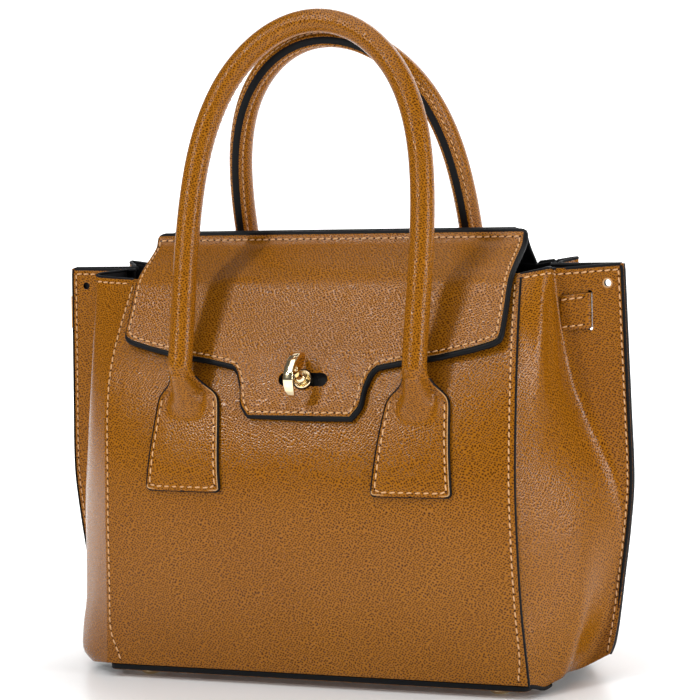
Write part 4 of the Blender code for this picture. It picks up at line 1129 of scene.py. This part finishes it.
def build_handle(side, name, body):
    place = handle_frame(side)
    line = handle_line(side)
    run = lengths_along([Vector((x, y, 0)) for x, y in line])
    start_run = (TAB_JOIN - PIVOT.z) / cos(HANDLE_LEANS[side]) + 1.5 * MM
    rings, seam = [], []
    for index, (x, y) in enumerate(line):
        near = min(run[index], run[-1] - run[index])
        if near < start_run:
            continue
        before, after = line[index - 1], line[index + 1]
        along = Vector((after[0] - before[0], after[1] - before[1])).normalized()
        rings.append(roll_ring(place, x, y, along, smooth(48 * MM, 66 * MM, near)))
        if near > 60 * MM:
            seam.append((x, y, along))
    pivot = place.translation
    span = ("root", body, (0, pivot.y, 176 * MM), (0, pivot.y, 210 * MM))
    heights = [TAB_LOW + TAB_CORNER * (1 - cos(k * pi / 16)) for k in range(8)]
    heights += spread(TAB_LOW + TAB_CORNER, 165 * MM, 16) + spread(166 * MM, TAB_JOIN, 40)
    feet = []
    for hand in (-side, side):
        foot = foot_rings(side, hand, place, heights)
        feet.append(foot)
        edge_tab(name, "right" if hand > 0 else "left", foot, place.col[2].xyz.normalized(), span)
    bm, verts = grid_mesh(feet[0] + rings + feet[1][::-1], closed_rows=True, origin=RING // 2)
    for row in (verts[0], verts[-1]):
        for k in range(RING // 2):
            corners = list(dict.fromkeys([row[k], row[k + 1], row[(RING - k - 1) % RING], row[(RING - k) % RING]]))
            if len(corners) > 2:
                face = bm.faces.new(corners)
                face.material_index = 1
    bmesh.ops.recalc_face_normals(bm, faces=bm.faces)
    piece = add_object(f"{name}_leather", bm, [TAN, EDGE], crease=70)
    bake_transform(piece)
    front = "front" if side < 0 else "back"
    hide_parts(f"{name}_roll", f"{front}_left_tab", f"{front}_right_tab")
    build_seam(name, body, place, seam)
    sew_tabs(side, name)


def sew_tabs(side, name):
    """Stitches down one side of each tab, round its lower corners and up the other side."""
    seams = Sewing(f"{name}_tabs", "root")
    low = TAB_LOW + TAB_INSET + SEWN_CORNER
    corner_turn = [radians(mix(0, -90, k / 3)) for k in range(4)]
    for hand in (-1, 1):
        path = []
        for sign, steps in ((-1, 1), (1, -1)):
            leg = [(tab_centre(side, hand, z) + sign * (tab_half(z) - TAB_INSET), z)
                   for z in spread(183.5 * MM, low, 24)]
            corner = tab_centre(side, hand, TAB_LOW) + sign * (25.9 * MM - TAB_INSET - SEWN_CORNER)
            leg += [(corner + sign * SEWN_CORNER * cos(t), low + SEWN_CORNER * sin(t)) for t in corner_turn]
            path += leg[::steps]
        sewn = []
        for x, z in path:
            here = tab_on_panel(side, x, z, GAP + TAB_STAND)
            sewn.append((here, (here - tab_on_panel(side, x, z, GAP)).normalized()))
        seams.sew(sewn, 5.5 * MM)
    seams.finish()


def build_seam(name, body, place, line):
    """The painted raw edge that closes the roll along its back, and the stitches on both sides of it."""
    depth = HANDLE_RADIUS + 1.9 * MM
    profile = [(-2.35, 0), (-2.4, 0.5), (-1.8, 0.85), (0, 0.95), (1.8, 0.85), (2.4, 0.5), (2.35, 0)]
    grid = [[place @ Vector((x + along.y * w * MM, y - along.x * w * MM, -(depth + d * MM))) for w, d in profile]
            for x, y, along in line]
    bm, verts = grid_mesh(grid, closed_rows=True)
    close_ends(bm, verts)
    seam = add_object(f"{name}_seam_paint", bm, [EDGE], body)
    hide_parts(f"{name}_seam")
    stitches = Sewing(f"{name}_roll", body)
    for sign in (-1, 1):
        path = []
        for x, y, along in line[1:-1]:
            aside = Vector((along.y, -along.x, 0)) * sign
            here = place @ (Vector((x, y, -(HANDLE_RADIUS + 0.2 * MM))) + aside * 4.35 * MM)
            path.append((here, (place.to_3x3() @ (aside * 0.8 - Vector((0, 0, 0.6)))).normalized()))
        stitches.sew(path, 4.9 * MM, 0.38 * MM, 0)
    stitches.finish()


# Lock. Its pieces are drawn round the lock's own axes, in millimetres.

BOSS_PROFILE = ((0, 3.6), (2.2, 3.6), (3.2, 3.8), (4.5, 4.9), (5.0, 5.7), (5.4, 5.9), (5.8, 5.7), (6.05, 5.1),
                (6.2, 2.2), (6.2, 0.7), (6.0, 0.4), (2, 0.3), (2, -5.3), (0, -5.3))
COLLAR_PROFILE = ((0, 16), (2.0, 16), (2.0, 10.3), (2.4, 9.9), (3.3, 9.2), (3.5, 8.3), (3.2, 7.4), (2.2, 6.8),
                  (1.9, 6), (1.9, 3.8), (0, 3.8))
RIVET_PROFILE = ((0, 0.5), (0.7, 0.45), (1.0, 0.15), (1.15, 0.15), (1.35, 0.6), (1.7, 0.65), (1.9, 0.3),
                 (1.9, -0.6), (0, -0.6))
KNOB_ARCH = ((15.3, 15), (14.8, 17.6), (12.8, 21), (9.8, 24.2), (6, 26.9), (1.4, 28.9), (-3, 29.6), (-7.2, 29),
             (-10.9, 27), (-13.8, 24), (-15.7, 21), (-16.6, 18.6))
KNOB_WEB = ((14.3, 18), (15.2, 15), (15.6, 12), (15.4, 9.6), (14.4, 8.6), (12, 8.6), (9, 9.8), (6, 11.6),
            (3.6, 13.6), (1.4, 16.2), (-0.8, 19.6), (-2.8, 23.2), (-4.4, 26), (-4.6, 28.2), (-1, 28.6), (3, 27.4),
            (7.4, 24.8), (11, 21.6))
KNOB_HALF_WIDTH, KNOB_HALF_DEPTH = 3.35 * MM, 1.5 * MM


def squared(value):
    """Bring a sine or cosine nearer to 1, for a rounded box instead of an oval."""
    return copysign(abs(value) ** 0.6, value)


def knob_bar(place):
    """The arched bar of the knob, tapered at both tips."""
    arch = resample([(Vector((0, y, h)) * MM, Vector((0, 0, 1))) for y, h in KNOB_ARCH], 0.8 * MM)
    grid = []
    last = len(arch) - 1
    for k, (point, _) in enumerate(arch):
        along = (arch[max(k - 1, 0)][0] - arch[min(k + 1, last)][0]).normalized()
        normal = facing(Vector((0, -along.z, along.y)), point - Vector((0, 0, 14 * MM)))
        taper = sqrt(max(1 - abs(2 * k / last - 1) ** 4.5, 0.02))
        ring = []
        for t in turns(24):
            w = KNOB_HALF_WIDTH * mix(0.5, 1, taper) * squared(cos(t))
            d = KNOB_HALF_DEPTH * (taper * squared(sin(t)) - 1)
            ring.append(place @ (point + Vector((w, 0, 0)) + normal * d))
        grid.append(ring)
    bm, verts = grid_mesh(grid, closed_rows=True)
    close_ends(bm, verts)
    return add_object("lock_knob_bar", bm, [GOLD], "lock_knob")


def build_lock():
    place = lock_frame()
    boss = turned("lock_boss_polished", BOSS_PROFILE, place, GOLD, "root")
    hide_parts("lock_boss")
    collar = turned("lock_knob_collar", COLLAR_PROFILE, place, GOLD, "lock_knob")
    bar = knob_bar(place)
    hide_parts("lock_knob")
    on_edge = Matrix(((0, 0, 1, 0), (1, 0, 0, 0), (0, 1, 0, 0), (0, 0, 0, 1)))
    web = prism("lock_knob_web", [(y * MM, h * MM) for y, h in KNOB_WEB], place @ on_edge, 1.9 * MM, GOLD)
    round_edges(web, 0.5 * MM, 3, 30)
    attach(web, "lock_knob")
    # Painted shade: a thin black sheet on the panel under the flap's slot, so the slot reads black where the panel
    # behind it lies in shade.
    slot_shade_sheet = prism("lock_slot_painted_shade", stadium(37 * MM, 12 * MM, 14), place, 0.35 * MM, LINING)
    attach(slot_shade_sheet, "root")
    for sign, side_name in ((-1, "left"), (1, "right")):
        spot = (place @ Matrix.Translation((sign * 1.9 * MM, 1.9 * MM, 21.6 * MM))
                @ Matrix.Rotation(radians(90 * sign), 4, "Y"))
        turned(f"lock_knob_rivet_{side_name}", RIVET_PROFILE, spot, GOLD, "lock_knob")


# Solids that keep their shape

def dress_frame():
    finishes = {"pale_gold": GOLD, "fibre_board": BOARD, "cognac_leather": TAN, "black_lining": LINING}
    slots = {entry["node"]: entry["material_slot"] for entry in frame["record"]["subparts"]}
    for name, thing in frame["nodes"].items():
        for place in thing.material_slots:
            place.material = finishes.get(slots.get(name), TAN)


# Stage

def floor_finish():
    """White floor that glows more and more away from the bag, so the background is white in every view."""
    material = bpy.data.materials.new("studio_white")
    tree, shader = nodes_of(material)
    local = node(tree, "ShaderNodeTexCoord").outputs["Object"]
    soft = noise_of(tree, local, 3.0, 2.0).outputs["Fac"]
    away = node(tree, "ShaderNodeMapping", Vector=local, Scale=(1 / 0.24, 1 / 0.15, 0))
    far = node(tree, "ShaderNodeVectorMath", operation="LENGTH", Vector=away.outputs[0]).outputs["Value"]
    glow = node(tree, "ShaderNodeMapRange", interpolation_type="SMOOTHSTEP", Value=far,
                **{"From Min": 0.75, "From Max": 1.8, "To Min": 0.03, "To Max": 0.74})
    set_shader(tree, shader, {
        "Base Color": ramp(tree, soft, [(0.3, grey(0.9)), (0.7, grey(0.92))]),
        "Roughness": 0.32,
        "Specular IOR Level": 0.4,
        "Emission Color": (1, 1, 1, 1),
        "Emission Strength": glow.outputs[0]})
    return material


def lamp(name, spot, target, size, energy):
    data = bpy.data.lights.new(name, "AREA")
    data.shape = "RECTANGLE"
    data.size, data.size_y = size
    data.energy = energy
    thing = show(name, data)
    thing.location = spot
    thing.rotation_euler = (Vector(target) - Vector(spot)).to_track_quat("-Z", "Y").to_euler()


def build_stage():
    """A floor that curves up into a back wall, with two small keys and three large soft lamps."""
    back_y, bend = 1.6, 0.8
    profile = [(-2.4, 0), (back_y, 0)]
    profile += [(back_y + bend * sin(t), bend * (1 - cos(t)))
                for t in [radians(90 * k / 12) for k in range(1, 13)]]
    profile.append((back_y + bend, 3.0))
    bm = bmesh.new()
    left, right = ([bm.verts.new((x, y, z)) for y, z in profile] for x in (-3.5, 3.5))
    for k in range(len(profile) - 1):
        bm.faces.new([left[k], right[k], right[k + 1], left[k + 1]])
    add_object("studio_floor", bm, [floor_finish()])
    lamp("low_key", (-0.92, -1.88, 1.2), (0, 0, 0.2), (0.12, 0.12), 12)
    lamp("high_key", (-0.7, -1.44, 2.0), (0, 0, 0.25), (0.3, 0.3), 10)
    lamp("side", (2.2, -0.4, 0.75), (0.05, 0, 0.2), (0.3, 1.1), 21)
    lamp("top", (0, -0.3, 2.05), (0, 0, 0.25), (1.5, 2.4), 24)
    lamp("back", (0.3, 1.9, 1.5), (0, 1.2, 0.2), (2.4, 1.0), 14)
    world = bpy.data.worlds.new("studio")
    bpy.context.scene.world = world
    world.use_nodes = True
    background = world.node_tree.nodes["Background"]
    background.inputs["Color"].default_value = (1, 1, 1, 1)
    background.inputs["Strength"].default_value = 0.11


def build_camera():
    """The camera as it was fitted to the photograph: 700 pixels wide, a focal length of 2466 pixels."""
    azimuth, elevation, roll = radians(21.57), radians(6.01), radians(-2.09)
    target, distance = Vector((9.4, 0, 209.9)) * MM, 1606 * MM
    forward = Vector((-sin(azimuth) * cos(elevation), cos(azimuth) * cos(elevation), -sin(elevation)))
    right = Vector((cos(azimuth), sin(azimuth), 0))
    up = right.cross(forward)
    across = right * cos(roll) + up * sin(roll)
    upward = up * cos(roll) - right * sin(roll)
    place = Matrix((across, upward, -forward)).transposed().to_4x4()
    place.translation = target - forward * distance
    data = bpy.data.cameras.new("camera")
    data.sensor_width = 36
    data.lens = 36 * 2466 / 700
    data.clip_end = 20
    camera = show("camera", data)
    camera.matrix_world = place
    bpy.context.scene.camera = camera


build_camera()
dress_frame()
build_panels()
build_gussets()
build_straps()
build_base()
build_flap()
build_handle(-1, "front_handle", "front_handle")
build_handle(1, "back_handle", "back_handle")
build_lock()
body_seams.finish()
flap_seams.finish()
build_stage()
bpy.context.scene.view_settings.view_transform = "Standard"
